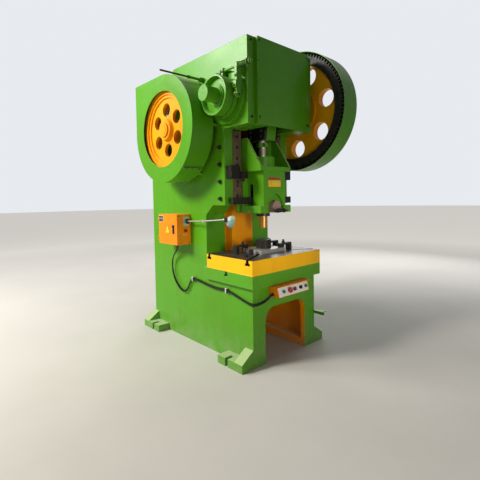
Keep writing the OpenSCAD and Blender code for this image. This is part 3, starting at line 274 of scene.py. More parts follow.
def rgba(name):
    return (*(colours[name] if isinstance(name, str) else name), 1)


def startMaterial(name, metallic=0.0, specular=0.5):
    material = bpy.data.materials.new(name)
    material.use_nodes = True
    tree = material.node_tree
    shader = tree.nodes["Principled BSDF"]
    shader.inputs["Metallic"].default_value = metallic
    shader.inputs["Specular IOR Level"].default_value = specular
    return material, tree, shader.inputs


def finishBump(tree, shader, height, normal, distance, strength=0.35):
    feeds = {"Strength": strength, "Distance": distance, "Height": height}
    if normal:
        feeds["Normal"] = normal
    tree.links.new(add(tree, "Bump", feeds).outputs[0], shader["Normal"])


# masks: 1 where a solid wears its second finish
def leftOf(limit):
    return lambda tree: under(tree, axes(tree, place(tree))["X"], limit)


def rightOf(limit):
    return lambda tree: over(tree, axes(tree, place(tree))["X"], limit)


def above(limit):
    return lambda tree: over(tree, axes(tree, place(tree))["Z"], limit)


def insideBed(tree):  # the bed's inner faces, which are sprayed orange
    x, y, z = axes(tree, place(tree))
    inner = under(tree, sizeOf(tree, x), limits["bedSide"])
    low = times(tree, under(tree, z, limits["bedTop"]), under(tree, y, limits["bedRear"]))
    notFront = over(tree, normalAxes(tree, "True Normal")["Y"], -0.5)
    return times(tree, times(tree, inner, low), notFront)


def rodPaintedShade(tree):  # the connecting rod's sides under the head, painted near black: painted shade
    x, y, z = axes(tree, place(tree))
    side = over(tree, sizeOf(tree, normalAxes(tree, "True Normal")["X"]), 0.8)
    return calc(tree, "MAXIMUM", side, over(tree, sizeOf(tree, x), limits["rodSide"]))


def ramSlot(tree):  # the knock-out slot through the ram
    x, y, z = axes(tree, place(tree))
    return times(tree, between(tree, y, limits["slotY"]), between(tree, z, limits["slotZ"]))


def panelFace(tree):  # the white plate on the panel's sloping face
    x, y, z = axes(tree, place(tree))
    normal = normalAxes(tree, "True Normal")
    facing = times(tree, under(tree, normal["Y"], -0.93), over(tree, normal["Z"], 0.12))
    inside = times(tree, between(tree, x, limits["panelX"]), between(tree, z, limits["panelZ"]))
    return times(tree, facing, inside)


def ringNutPlace(tree):  # the green ring nut on the adjusting screw
    x, y, z = axes(tree, place(tree))
    out = lengthOf(tree, add(tree, "CombineXYZ", {0: x, 1: y}).outputs[0])
    return times(tree, over(tree, out, limits["nutRadius"]), over(tree, z, limits["nutLow"]))


# makers of finishes; each gives one material
# rim, the upward-face strength and pale set a painted highlight along sharp edges and on upward faces
def enamel(
        name, paint, gloss=0.25, drift=0.5, wear=0.35, dust=0.4, oil=0.0, second=None, secondWhere=None,
        specular=0.25, rim=0.4, topLight=0.8, pale="highlightGreen"):
    material, tree, shader = startMaterial(name, specular=specular)
    colour = rgba(paint)
    if second:
        colour = mixColour(tree, secondWhere(tree), rgba(paint), rgba(second))
    film = put(tree, paintFilm, {"Paint": colour, "Drift": drift, "Gloss": gloss})
    edge = put(tree, edgeWearAndHighlight, {"Radius": 0.0035, "Wear": wear})
    dusty = put(tree, floorDust, {"Amount": dust})["Dust"]
    # painted highlight: the paint is mixed toward a pale tint along every sharp edge and on upward faces
    highlitPaint = mixColour(tree, 0.6, film["Color"], rgba(pale))
    paintedTopLight = fit(tree, normalAxes(tree)["Z"], 0.3, 0.75, 0, topLight)  # painted highlight on upward faces, as if lit from above
    paintedHighlight = calc(tree, "MAXIMUM", times(tree, edge["Rim"], rim), paintedTopLight)
    shown = mixColour(tree, paintedHighlight, film["Color"], highlitPaint)
    shown = mixColour(tree, times(tree, edge["Edge"], wear), shown, rgba("iron"))
    shown = mixColour(tree, dusty, shown, rgba("dust"))
    if oil:
        greasy = times(tree, put(tree, oilFilm, {"Spread": oil})["Oil"], 0.75)
        shown = mixColour(tree, greasy, shown, rgba("oil"))
    tree.links.new(shown, shader["Base Color"])
    tree.links.new(mixValue(tree, dusty, film["Roughness"], 0.8), shader["Roughness"])
    finishBump(tree, shader, film["Height"], edge["Normal"], 0.002)
    return material


def bareMetal(
        name, tint, roughness, stretch, stain=(0.10, 0.07, 0.05), stainAmount=0.5,
        oil=0.0, metallic=1.0, mark=0.12, wear=0.0, specular=0.5):
    material, tree, shader = startMaterial(name, metallic=metallic, specular=specular)
    marks = put(tree, toolMarks, {"Stretch": stretch})
    edge = put(tree, edgeWearAndHighlight, {"Radius": 0.0016, "Wear": 0.8})
    shown = mixColour(tree, times(tree, marks["Stain"], stainAmount), rgba(tint), rgba(stain))
    cut = fit(tree, marks["Marks"], 0.35, 0.7, 0, mark * 2)
    shown = mixColour(tree, cut, shown, (1, 1, 1, 1), "OVERLAY")
    rough = fit(tree, marks["Marks"], 0.3, 0.7, roughness - mark, roughness + mark)
    rough = calc(tree, "ADD", rough, times(tree, marks["Stain"], 0.22), True)
    if wear:
        shown = mixColour(tree, times(tree, edge["Edge"], wear), shown, rgba("brightWear"))
    if oil:
        greasy = put(tree, oilFilm, {"Spread": oil, "Size": 26})["Oil"]
        shown = mixColour(tree, times(tree, greasy, 0.85), shown, rgba("oil"))
        rough = mixValue(tree, greasy, rough, 0.22)
    tree.links.new(shown, shader["Base Color"])
    tree.links.new(rough, shader["Roughness"])
    finishBump(tree, shader, marks["Marks"], edge["Normal"], 0.0004, 0.25)
    return material


def partPainted(name, tint, paint, where, roughness=0.3, stretch=(220, 220, 30)):  # steel, painted in one part
    material, tree, shader = startMaterial(name, specular=0.26)
    painted = where(tree)
    film = put(tree, paintFilm, {"Paint": rgba(paint), "Drift": 0.5, "Gloss": 0.3})
    marks = put(tree, toolMarks, {"Stretch": stretch})
    edge = put(tree, edgeWearAndHighlight, {"Radius": 0.002, "Wear": 0.4})
    steel = mixColour(tree, times(tree, marks["Stain"], 0.4), rgba(tint), rgba("rust"))
    # painted highlight: the paint is whitened along every sharp edge
    highlitPaint = mixColour(tree, times(tree, edge["Rim"], 0.3), film["Color"], rgba("white"))
    tree.links.new(mixColour(tree, painted, steel, highlitPaint), shader["Base Color"])
    tree.links.new(calc(tree, "SUBTRACT", 0.85, times(tree, painted, 0.85), True), shader["Metallic"])
    rough = fit(tree, marks["Marks"], 0.3, 0.7, roughness - 0.08, roughness + 0.14)
    tree.links.new(mixValue(tree, painted, rough, film["Roughness"]), shader["Roughness"])
    height = mixValue(tree, painted, marks["Marks"], film["Height"])
    finishBump(tree, shader, height, edge["Normal"], 0.0012, 0.25)
    return material


def moulded(name, tint, roughness):  # plastic, or the smooth print coat of a bare plate
    material, tree, shader = startMaterial(name)
    here = place(tree)
    soft = noiseAt(tree, here, 40, 4, 0.6)
    fine = noiseAt(tree, here, 900, 2, 0.5)
    edge = put(tree, edgeWearAndHighlight, {"Radius": 0.0012, "Wear": 0.4})
    darker = tuple(part * 0.72 for part in tint)
    shown = mixColour(tree, fit(tree, soft, 0.35, 0.7), rgba(tint), rgba(darker))
    shown = mixColour(tree, times(tree, edge["Edge"], 0.3), shown, rgba("scuff"))
    tree.links.new(shown, shader["Base Color"])
    tree.links.new(fit(tree, soft, 0.3, 0.75, roughness - 0.06, roughness + 0.12), shader["Roughness"])
    finishBump(tree, shader, fine, edge["Normal"], 0.0002, 0.3)
    return material


def bolsterFinish():  # yellow sides, planed and oily top, black T-slots
    material, tree, shader = startMaterial("bolster", specular=0.26)
    x, y, z = axes(tree, place(tree))
    sideX = over(tree, sizeOf(tree, x), limits["bolsterSide"])
    fromMiddle = calc(tree, "SUBTRACT", y, limits["bolsterMiddle"])
    painted = calc(tree, "MAXIMUM", sideX, over(tree, sizeOf(tree, fromMiddle), limits["bolsterFace"]))
    top = over(tree, z, limits["bolsterTop"])
    film = put(tree, paintFilm, {"Paint": rgba("yellow"), "Drift": 0.4, "Gloss": 0.33})
    marks = put(tree, toolMarks, {"Stretch": (5, 260, 260)})
    edge = put(tree, edgeWearAndHighlight, {"Radius": 0.003, "Wear": 0.5})
    greasy = put(tree, oilFilm, {"Spread": 0.62, "Size": 11})["Oil"]
    steel = mixColour(tree, marks["Stain"], rgba("planed"), rgba("planedStain"))
    steel = mixColour(tree, times(tree, greasy, 0.8), steel, rgba("oil"))
    slot = mixColour(tree, marks["Stain"], rgba("slot"), rgba("slotStain"))
    chipped = mixColour(tree, times(tree, edge["Edge"], 0.6), film["Color"], rgba("iron"))
    shown = mixColour(tree, painted, mixColour(tree, top, slot, steel), chipped)
    tree.links.new(shown, shader["Base Color"])
    tree.links.new(times(tree, calc(tree, "SUBTRACT", 1.0, painted), 0.6), shader["Metallic"])
    bareRough = mixValue(tree, greasy, fit(tree, marks["Marks"], 0.3, 0.7, 0.36, 0.55), 0.27)
    tree.links.new(mixValue(tree, painted, bareRough, film["Roughness"]), shader["Roughness"])
    height = mixValue(tree, painted, marks["Marks"], film["Height"])
    finishBump(tree, shader, height, edge["Normal"], 0.001, 0.25)
    return material


def gearFinish():  # orange web inside a black greased rim
    material, tree, shader = startMaterial("big gear", specular=0.26)
    x, y, z = axes(tree, place(tree))
    fromAxis = calc(tree, "SUBTRACT", z, limits["gearAxis"])
    radius = lengthOf(tree, add(tree, "CombineXYZ", {1: y, 2: fromAxis}).outputs[0])
    rim = over(tree, radius, limits["gearRim"])
    film = put(tree, paintFilm, {"Paint": rgba("gearWeb"), "Drift": 0.6, "Gloss": 0.34})
    edge = put(tree, edgeWearAndHighlight, {"Radius": 0.004, "Wear": 0.3})
    greasy = put(tree, oilFilm, {"Spread": 0.7, "Size": 30})["Oil"]
    black = mixColour(tree, greasy, rgba("gearGrease"), rgba("oil"))
    creep = calc(tree, "ADD", radius, times(tree, greasy, 0.02))  # grease that creeps in from the rim
    stained = mixColour(tree, fit(tree, creep, 0.397, 0.43, 0, 0.7), film["Color"], rgba("oil"))
    tree.links.new(mixColour(tree, rim, stained, black), shader["Base Color"])
    rough = mixValue(tree, rim, film["Roughness"], mixValue(tree, greasy, 0.58, 0.42))
    tree.links.new(rough, shader["Roughness"])
    finishBump(tree, shader, film["Height"], edge["Normal"], 0.002, 0.3)
    return material


def rubberFinish(name, tint, roughness):
    material, tree, shader = startMaterial(name, specular=0.18)
    here = place(tree)
    soft = noiseAt(tree, here, 22, 5, 0.65)
    fine = noiseAt(tree, here, 700, 2, 0.5)
    shown = mixColour(tree, fit(tree, soft, 0.4, 0.75), rgba(tint), rgba("rubberDust"))
    tree.links.new(shown, shader["Base Color"])
    tree.links.new(fit(tree, soft, 0.3, 0.7, roughness - 0.1, roughness + 0.15), shader["Roughness"])
    finishBump(tree, shader, fine, None, 0.0003, 0.4)
    return material


warm = {"rim": 0.2, "topLight": 0.15, "specular": 0.22, "pale": "highlightOrange"}  # shared by the orange enamels: weaker painted highlights on edges and upward faces, in an orange tint
forged = {"stainAmount": 0.4, "metallic": 0.1}  # shared by the blackened steels
finishes = {
    "frame_green": enamel("shop green enamel", "green"),
    "bed_green": enamel(
        "shop green enamel, orange inside", "green", second="columnOrange", secondWhere=insideBed),
    "bolster_yellow": bolsterFinish(),
    "flywheel_orange": enamel(
        "flywheel orange", "gearOrange", gloss=0.34, drift=0.6, dust=0.1, wear=0.2, **warm),
    "gear_orange": gearFinish(),
    "box_orange": enamel("box orange", "boxOrange", gloss=0.3, drift=0.4, dust=0.15, wear=0.3, **warm),
    # darker red-brown above 1.46 m, where the column rises into the head
    "column_orange": enamel(
        "column orange", "columnOrange", gloss=0.32, dust=0.1, wear=0.2,
        second="redBrown", secondWhere=above(limits["columnRedBrownFrom"]), **warm),
    # the rod's sides are painted near black as painted shade; the oil film on it is real grease
    "rod_green": enamel(
        "connecting rod green", "green", dust=0, oil=0.3, second="greaseAndShade", secondWhere=rodPaintedShade),
    "ram_green": enamel("ram green", "green", dust=0.05, oil=0.12, second="greaseAndShade", secondWhere=ramSlot),
    "panel_orange": enamel(
        "panel orange", "boxOrange", gloss=0.32, drift=0.4, dust=0.05, wear=0.3,
        second="white", secondWhere=panelFace, **warm),
    "crank_steel": partPainted("crankshaft", (0.55, 0.53, 0.50), "green", leftOf(limits["crankPaint"])),
    "shaft_steel": partPainted(
        "back shaft", (0.45, 0.43, 0.41), "gearOrange", leftOf(limits["shaftPaint"]), 0.34),
    "screw_steel": partPainted(
        "adjusting screw", (0.66, 0.58, 0.50), "green", ringNutPlace, 0.32, (120, 120, 300)),
    "punch_mixed": partPainted(
        "punch", (0.55, 0.27, 0.055), "tar", above(limits["punchTop"]), 0.3, (20, 20, 260)),
    "lever_mixed": partPainted(
        "hand lever", (0.05, 0.045, 0.04), "green", rightOf(limits["leverPaint"]), 0.4),
    "plate_white": moulded("bare plate white", (0.72, 0.71, 0.68), 0.4),
    "plate_dark": moulded("bare plate dark", (0.03, 0.03, 0.032), 0.4),
    "plate_yellow": moulded("bare plate yellow", (0.92, 0.66, 0.02), 0.38),
    "plate_red": moulded("bare plate red", (0.42, 0.03, 0.012), 0.38),
    "bright_steel": bareMetal(
        "bright steel", (0.52, 0.50, 0.47), 0.42, (220, 220, 30), stainAmount=0.25),
    "dark_steel": bareMetal(
        "dark steel", (0.020, 0.019, 0.017), 0.42, (60, 60, 60), (0.035, 0.022, 0.014),
        oil=0.3, wear=0.35, specular=0.2, **forged),
    "gib_brown": bareMetal(
        "gib rail iron", (0.16, 0.10, 0.065), 0.46, (200, 200, 4), stainAmount=0.75,
        oil=0.5, metallic=0.1, wear=0.35, specular=0.25),
    "tool_black": bareMetal(
        "tool black", (0.012, 0.0105, 0.009), 0.38, (90, 90, 90), (0.03, 0.019, 0.012),
        oil=0.3, wear=0.45, specular=0.2, **forged),
    "punch_brass": bareMetal(
        "punch bronze", (0.52, 0.25, 0.06), 0.3, (20, 20, 260), (0.2, 0.09, 0.03), stainAmount=0.35),
    "clamp_brown": bareMetal(
        "clamp iron", (0.36, 0.24, 0.20), 0.5, (110, 110, 110), (0.2, 0.12, 0.09), wear=0.4, **forged),
    "motor_grey": enamel("motor grey", (0.16, 0.20, 0.22), gloss=0.38, dust=0.3),
    "belt_rubber": rubberFinish("belt rubber", (0.014, 0.014, 0.015), 0.62),
    "lining_black": rubberFinish("brake lining", (0.03, 0.026, 0.022), 0.7),
    # the lamp's one teal in two tones: the base lightened as painted light where it sits in shade, the dome
    # darkened as painted shade
    "lamp_teal": enamel("lamp teal", (0.42, 0.62, 0.56), gloss=0.28, drift=0.2, dust=0.05, wear=0.15),
    "dome_teal_shaded": enamel(
        "lamp dome teal", (0.24, 0.40, 0.38), gloss=0.26, drift=0.2, dust=0.0, wear=0.1, specular=0.4),
    "lead_black": rubberFinish("lead sheath", (0.010, 0.010, 0.010), 0.38),
    "red_plastic": moulded("red button", (0.40, 0.005, 0.010), 0.36),
    "dark_red_plastic": moulded("dark red button", (0.20, 0.005, 0.009), 0.36),
    "green_plastic": moulded("green button", (0.01, 0.22, 0.10), 0.3),
    "black_plastic": moulded("black plastic", (0.016, 0.016, 0.018), 0.4),
}
wears = {  # solids whose finish isn't their slot's
    "left_cheek": "bed_green", "right_cheek": "bed_green", "bed_front_plate": "bed_green",
    "rear_plate": "bed_green", "table_plate": "bed_green", "crankshaft": "crank_steel",
    "pinion_shaft": "shaft_steel", "adjusting_screw": "screw_steel", "connecting_rod": "rod_green",
    "ram": "ram_green", "panel_box": "panel_orange", "punch": "punch_mixed", "hand_lever": "lever_mixed",
    "brake_spring": "frame_green", "flywheel": "flywheel_orange", "big_gear": "gear_orange",
    "throat_column": "column_orange",
}
for name, solid in nodes.items():
    for index, held in enumerate(solid.data.materials):
        slotName = held.name.split(".")[0]
        solid.data.materials[index] = finishes[wears.get(name, slotName)]
print("finishes given to the solids:", len(finishes))


# short forms for modelling; a piece is built in place, in metres, in the press's own frame
def turned(at, axis):  # the place `at`, with its Z along the axis
    way = Vector(axis).normalized().to_track_quat("Z", "Y")
    return Matrix.Translation(Vector(at)) @ way.to_matrix().to_4x4()


def rolled(degrees, axis):
    return Matrix.Rotation(math.radians(degrees), 4, axis)


def soften(mesh, made, offset):
    edges = {edge for vert in made["verts"] for edge in vert.link_edges if edge.calc_face_angle(0) > 0.6}
    if offset:
        bmesh.ops.bevel(
            mesh, geom=list(edges), offset=offset, segments=2, affect="EDGES", profile=0.5, material=-1,
            clamp_overlap=True)


def addDisc(mesh, at, axis, radius, depth, top=None, sides=32, bevel=0.0008):  # from `at` outwards
    centre = Vector(at) + Vector(axis).normalized() * depth / 2
    made = bmesh.ops.create_cone(
        mesh, cap_ends=True, segments=sides, radius1=radius, radius2=radius if top is None else top,
        depth=depth, matrix=turned(centre, axis))
    soften(mesh, made, bevel)


def addBlock(mesh, low, high, bevel=0.001, turn=None):
    low, high = Vector(low), Vector(high)
    shape = Matrix.Translation((low + high) / 2) @ (turn or Matrix()) @ Matrix.Diagonal((*(high - low), 1))
    soften(mesh, bmesh.ops.create_cube(mesh, size=1, matrix=shape), bevel)


def addBolt(mesh, at, axis, across, head, washer=True, end=0.0):  # `across` its flats, `head` high
    step = Vector(axis).normalized()
    if washer:
        addDisc(mesh, at, axis, across * 0.82, 0.002, sides=28, bevel=0.0005)
    seat = Vector(at) + step * (0.002 if washer else 0)
    addDisc(mesh, seat, axis, across * 0.577, head, sides=6, bevel=0.0008)
    if end:
        addDisc(mesh, seat + step * head, axis, across * 0.3, end, sides=16, bevel=0.0008)


def sweep(mesh, parts, centre, axis, turns, steps, rise=0.0, merge=False):  # `rise` is along the axis
    bmesh.ops.spin(
        mesh, geom=parts, cent=centre, axis=axis, dvec=Vector(axis) * rise / steps, angle=math.tau * turns,
        steps=steps, use_merge=merge, use_normal_flip=False, use_duplicate=False)


def addTurned(mesh, profile, at, axis, steps):  # a lathe profile of (radius, height) pairs
    verts = [mesh.verts.new((radius, 0, height)) for radius, height in profile]
    edges = [mesh.edges.new(pair) for pair in zip(verts, verts[1:])]
    sweep(mesh, verts + edges, (0, 0, 0), (0, 0, 1), 1, steps, merge=True)
    made = [vert for vert in mesh.verts if vert.tag is False]
    bmesh.ops.transform(mesh, matrix=turned(at, axis), verts=made)
    bmesh.ops.remove_doubles(mesh, verts=made, dist=1e-6)
    for vert in mesh.verts:
        vert.tag = True


def addTube(mesh, points, radius, sides):  # a round bar along points
    points = [Vector(point) for point in points]
    start = turned(points[0], points[1] - points[0])
    ring = bmesh.ops.create_circle(mesh, cap_ends=True, segments=sides, radius=radius, matrix=start)
    face = ring["verts"][0].link_faces[0]
    for index in range(1, len(points)):
        here, back = points[index], points[index - 1]
        ahead = points[min(index + 1, len(points) - 1)]
        made = bmesh.ops.extrude_face_region(mesh, geom=[face])
        verts = [part for part in made["geom"] if isinstance(part, bmesh.types.BMVert)]
        old = turned(back, here - back if index == 1 else here - points[index - 2])
        new = turned(here, ahead - back)
        bmesh.ops.transform(mesh, matrix=new @ old.inverted(), verts=verts)
        if index > 1:
            bmesh.ops.delete(mesh, geom=[face], context="FACES_ONLY")
        face = next(part for part in made["geom"] if isinstance(part, bmesh.types.BMFace))


def keep(mesh, name, finish, body):
    bmesh.ops.recalc_face_normals(mesh, faces=mesh.faces)
    data = bpy.data.meshes.new(name)
    mesh.to_mesh(data)
    mesh.free()
    for face in data.polygons:
        face.use_smooth = True
    piece = bpy.data.objects.new(name, data)
    bpy.context.scene.collection.objects.link(piece)
    data.set_sharp_from_angle(angle=math.radians(38))
    data.materials.append(finishes[finish])
    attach(piece, body)
    return piece


# the head: bolts of the front cover, dark lugs between cheek and cover
head = {
    "coverX": 0.272, "coverY": -0.2468, "coverZ": (1.815, 1.96, 2.10, 2.24, 2.378), "across": 0.013,
    "lug": (0.3252, -0.2), "lugZ": (2.376, 2.132, 1.821), "lugSize": (0.011, 0.012),
}
mesh = bmesh.new()
for z in head["coverZ"]:
    for x in (-head["coverX"], head["coverX"]):
        addBolt(mesh, (x, head["coverY"], z), (0, -1, 0), head["across"], 0.006, washer=False)
keep(mesh, "coverScrews", "frame_green", "frame")
mesh = bmesh.new()
for z in head["lugZ"]:
    for side in (-1, 1):
        at = (side * head["lug"][0], head["lug"][1], z)
        addDisc(mesh, at, (side, 0, 0), *head["lugSize"], bevel=0.002)
keep(mesh, "coverLugs", "dark_steel", "frame")
print("head fittings made")

# crank end and brake: centre holes drawn as dark discs (painted shade), hub, ear, studs, coil spring, rod end
crank = {"end": -0.5988, "z": 2.005, "holes": ((0, 0), (-0.004, 0.034)), "holeSize": (0.0048, 0.0009)}
hub = {
    "x": -0.452, "bore": 0.0566, "r": 0.082, "thick": 0.032, "chamfer": 0.006, "boltX": -0.484,
    "boltR": 0.069, "bolts": 6, "turn": 0.3,
}
mesh = bmesh.new()
# the centre holes are flat dark discs: painted shade in the holes
for y, z in crank["holes"]:
    addDisc(mesh, (crank["end"], y, crank["z"] + z), (-1, 0, 0), *crank["holeSize"], sides=16, bevel=0.0002)
keep(mesh, "crankEndHoleShade", "plate_dark", "crank")
mesh = bmesh.new()
ring = [
    (hub["bore"], 0), (hub["r"], 0), (hub["r"], hub["thick"] - hub["chamfer"]),
    (hub["r"] - hub["chamfer"], hub["thick"]), (hub["bore"], hub["thick"]), (hub["bore"], 0),
]
addTurned(mesh, ring, (hub["x"], 0, crank["z"]), (-1, 0, 0), 48)
for index in range(hub["bolts"]):
    turn = math.tau * index / hub["bolts"] + hub["turn"]
    y, z = hub["boltR"] * math.cos(turn), crank["z"] + hub["boltR"] * math.sin(turn)
    addBolt(mesh, (hub["boltX"], y, z), (-1, 0, 0), 0.014, 0.007, washer=False)
keep(mesh, "brakeHub", "frame_green", "crank")

coil = {"x": -0.414, "z": 2.191, "y": (-0.292, -0.196), "r": 0.0175, "wire": 0.0032, "turns": 8, "steps": 20}
mesh = bmesh.new()
start = Matrix.Translation((coil["x"], coil["y"][0], coil["z"] + coil["r"])) @ rolled(90, "Y")
wire = bmesh.ops.create_circle(mesh, cap_ends=True, segments=8, radius=coil["wire"], matrix=start)
sweep(
    mesh, [wire["verts"][0].link_faces[0]], (coil["x"], 0, coil["z"]), (0, 1, 0), coil["turns"],
    coil["turns"] * coil["steps"], coil["y"][1] - coil["y"][0])
keep(mesh, "brakeCoil", "dark_steel", "frame")

brake = {
    "bossX": -0.3655, "bossZ": (2.166, 2.015), "boss": (0.017, 0.012), "leverX": -0.4372, "leverY": -0.172,
    "pivotZ": 1.99, "studZ": 2.12, "cupY": (-0.302, -0.187), "cup": (0.0205, 0.004),
    "ear": ((-0.4455, -0.182, 2.034), (-0.4375, -0.124, 2.084)), "earX": -0.4453,
    "earBolts": ((-0.166, 2.050), (-0.142, 2.068)),
    "rodEnd": ((-0.4335, -0.026, 2.172), (-0.3945, 0.006, 2.192)),
    "rodTab": ((-0.427, 0.0, 2.170), (-0.401, 0.066, 2.186)), "tabTurn": 14, "rodNut": (0.016, 0.010),
}
mesh = bmesh.new()
for z in brake["bossZ"]:
    addDisc(mesh, (brake["bossX"], brake["leverY"], z), (-1, 0, 0), *brake["boss"], bevel=0.002)
addBolt(mesh, (brake["leverX"], brake["leverY"], brake["pivotZ"]), (-1, 0, 0), 0.022, 0.010, end=0.006)
addBolt(mesh, (brake["leverX"], brake["leverY"], brake["studZ"]), (-1, 0, 0), 0.014, 0.007)
for y in brake["cupY"]:
    addDisc(mesh, (coil["x"], y, coil["z"]), (0, 1, 0), *brake["cup"], bevel=0.001)
addBlock(mesh, *brake["ear"], 0.0015)
keep(mesh, "brakeNuts", "frame_green", "frame")
mesh = bmesh.new()
for y, z in brake["earBolts"]:
    addBolt(mesh, (brake["earX"], y, z), (-1, 0, 0), 0.013, 0.006, washer=False)
addBlock(mesh, *brake["rodEnd"], 0.004)
addBlock(mesh, *brake["rodTab"], 0.003, rolled(brake["tabTurn"], "X"))
addDisc(mesh, (coil["x"], 0.0035, coil["z"]), (0, 1, 0), *brake["rodNut"], sides=6, bevel=0.001)
keep(mesh, "brakeBolts", "dark_steel", "frame")
print("brake made")

# belt guard: rolled lip of its window, seam flange with its gasket and bolts
guard = {
    "y": 0.568, "z": 1.8278, "lipX": -0.601, "lip": (0.3088, 0.313, -0.003, 0.001),
    "seamY": (0.268, 0.282), "seamX": (-0.5965, -0.4115), "seamZ": 1.4978,
    "boltX": (-0.565, -0.505, -0.445), "boltY": 0.2735, "above": 0.0068, "below": 0.0058,
}
mesh = bmesh.new()
near, far, back, front = guard["lip"]
addTurned(
    mesh, [(near, front), (far, front), (far, back), (near, back), (near, front)],
    (guard["lipX"], guard["y"], guard["z"]), (-1, 0, 0), 96)
keep(mesh, "beltGuardLip", "frame_green", "frame")
mesh = bmesh.new()
for x in guard["boltX"]:
    top, bottom = guard["seamZ"] + guard["above"], guard["seamZ"] - guard["below"]
    addBolt(mesh, (x, guard["boltY"], top), (0, 0, 1), 0.009, 0.005, washer=False)
    addDisc(mesh, (x, guard["boltY"], bottom), (0, 0, -1), 0.0052, 0.006, sides=6, bevel=0.0006)
keep(mesh, "beltGuardBolts", "dark_steel", "frame")
mesh = bmesh.new()
low = (guard["seamX"][0], guard["seamY"][0], guard["seamZ"] - 0.0022)
high = (guard["seamX"][1], guard["seamY"][1], guard["seamZ"] + 0.0032)
addBlock(mesh, low, high, 0.0003)
keep(mesh, "beltGuardGasket", "lining_black", "frame")
print("belt guard trimmed")

# flywheel: two dots on the hub's face
dots = {"x": -0.5915, "places": ((0.562, 1.8498), (0.572, 1.8038)), "size": (0.0042, 0.0009)}
mesh = bmesh.new()
for y, z in dots["places"]:
    addDisc(mesh, (dots["x"], y, z), (-1, 0, 0), *dots["size"], sides=16, bevel=0.0002)
keep(mesh, "flywheelDots", "plate_dark", "back_shaft")
print("flywheel marked")

# adjusting screw: cut thread between the cap and the ring nut, notches in the nut
screw = {
    "low": 1.586, "pitch": 0.012, "turns": 5, "steps": 36, "core": 0.0316, "crest": 0.0342,
    "root": 0.0052, "flat": 0.0016, "nutZ": (1.662, 1.695), "nutR": 0.051, "notches": 6,
    "notch": (0.0012, 0.006, 0.0155),
}
mesh = bmesh.new()
tooth = [
    (screw["core"], -screw["root"]), (screw["crest"], -screw["flat"]),
    (screw["crest"], screw["flat"]), (screw["core"], screw["root"]),
]
middle = screw["low"] + screw["pitch"] / 2
face = mesh.faces.new([mesh.verts.new((radius, 0, middle + lift)) for radius, lift in tooth])
sweep(
    mesh, [face], (0, 0, 0), (0, 0, 1), screw["turns"], screw["turns"] * screw["steps"],
    screw["turns"] * screw["pitch"])
keep(mesh, "screwThread", "screw_steel", "screw")
mesh = bmesh.new()
half = Vector(screw["notch"])
for index in range(screw["notches"]):
    turn = math.tau * index / screw["notches"]
    at = Vector((screw["nutR"] * math.cos(turn), screw["nutR"] * math.sin(turn), sum(screw["nutZ"]) / 2))
    addBlock(mesh, at - half, at + half, 0.0004, Matrix.Rotation(turn, 4, "Z"))
keep(mesh, "ringNutNotches", "dark_steel", "screw")
print("screw made")

# ram: bare plate on its front, clamp studs
ramTrim = {
    "front": -0.1302, "plateX": 0.076, "plateZ": (1.335, 1.413), "fieldTop": 1.391, "edge": 0.003,
    "rivetX": 0.070, "rivetIn": 0.006, "bar": ((-0.062, -0.197, 1.134), (0.062, -0.1795, 1.164)),
    "studX": 0.036, "studY": -0.1968, "studZ": 1.149,
}
wide, (low, high), front, edge = (ramTrim[key] for key in ("plateX", "plateZ", "front", "edge"))
mesh = bmesh.new()
addBlock(mesh, (-wide, front - 0.0014, low), (wide, front + 0.0002, high), 0.0006)
keep(mesh, "ramPlateBack", "plate_red", "ram")
mesh = bmesh.new()
corner = (wide - edge, front - 0.001, ramTrim["fieldTop"])
addBlock(mesh, (-wide + edge, front - 0.0022, low + edge), corner, 0.0004)
keep(mesh, "ramPlateField", "plate_yellow", "ram")
mesh = bmesh.new()
for x in (-ramTrim["rivetX"], ramTrim["rivetX"]):
    for z in (low + ramTrim["rivetIn"], high - ramTrim["rivetIn"]):
        at = (x, front - 0.001, z)
        addDisc(mesh, at, (0, -1, 0), 0.0028, 0.0022, top=0.0016, sides=14, bevel=0.0004)
keep(mesh, "ramPlateRivets", "bright_steel", "ram")
mesh = bmesh.new()
addBlock(mesh, *ramTrim["bar"], 0.003)
for x in (-ramTrim["studX"], ramTrim["studX"]):
    addBolt(mesh, (x, ramTrim["studY"], ramTrim["studZ"]), (0, -1, 0), 0.022, 0.014, end=0.02)
keep(mesh, "shankBar", "tool_black", "ram")
print("ram trimmed")

# gib rails: sunk bolts along both rails
gib = {
    "x": 0.236, "z": (1.735, 1.655, 1.565, 1.350, 1.270), "seatY": 0.0504, "seat": (0.0125, 0.0018),
    "headY": 0.0488, "head": (0.0075, 0.004),
}
mesh = bmesh.new()
for x in (-gib["x"], gib["x"]):
    for z in gib["z"]:
        addDisc(mesh, (x, gib["seatY"], z), (0, -1, 0), *gib["seat"], sides=28, bevel=0.0006)
        addDisc(mesh, (x, gib["headY"], z), (0, -1, 0), *gib["head"], sides=6, bevel=0.0008)
keep(mesh, "gibBolts", "tool_black", "frame")
print("gib bolts made")

# electrical box: bare plates, lock and handle on its door, label strip and screws on its front
door = {
    "x": -0.5032, "rimY": (0.752, 0.822), "rimZ": (1.052, 1.106), "edge": 0.003,
    "fieldY": ((0.766, 0.776), (0.796, 0.808)), "fieldZ": (1.072, 1.087),
    "triangle": (0.679, 0.9785), "triangleR": 0.052, "squash": (1, 0.86, 0.92, 1), "corner": 0.006,
    "lockY": (0.571, 0.599), "lockZ": (0.952, 1.031), "keyhole": (0.585, 1.015),
    "gripY": (0.5795, 0.5905), "gripZ": (0.958, 0.996),
    "bezel": [
        (0.0, 0.0122), (0.0, 0.0128), (0.0095, 0.0128), (0.011, 0.0115), (0.0122, 0.002), (0.0092, 0.002),
        (0.0092, 0.0121), (0.0, 0.0122),
    ],
}


def addOnDoor(mesh, out, back, spanY, spanZ, bevel):  # a block on the door; `out` and `back` are from its face
    low, high = (door["x"] - out, spanY[0], spanZ[0]), (door["x"] + back, spanY[1], spanZ[1])
    addBlock(mesh, low, high, bevel)


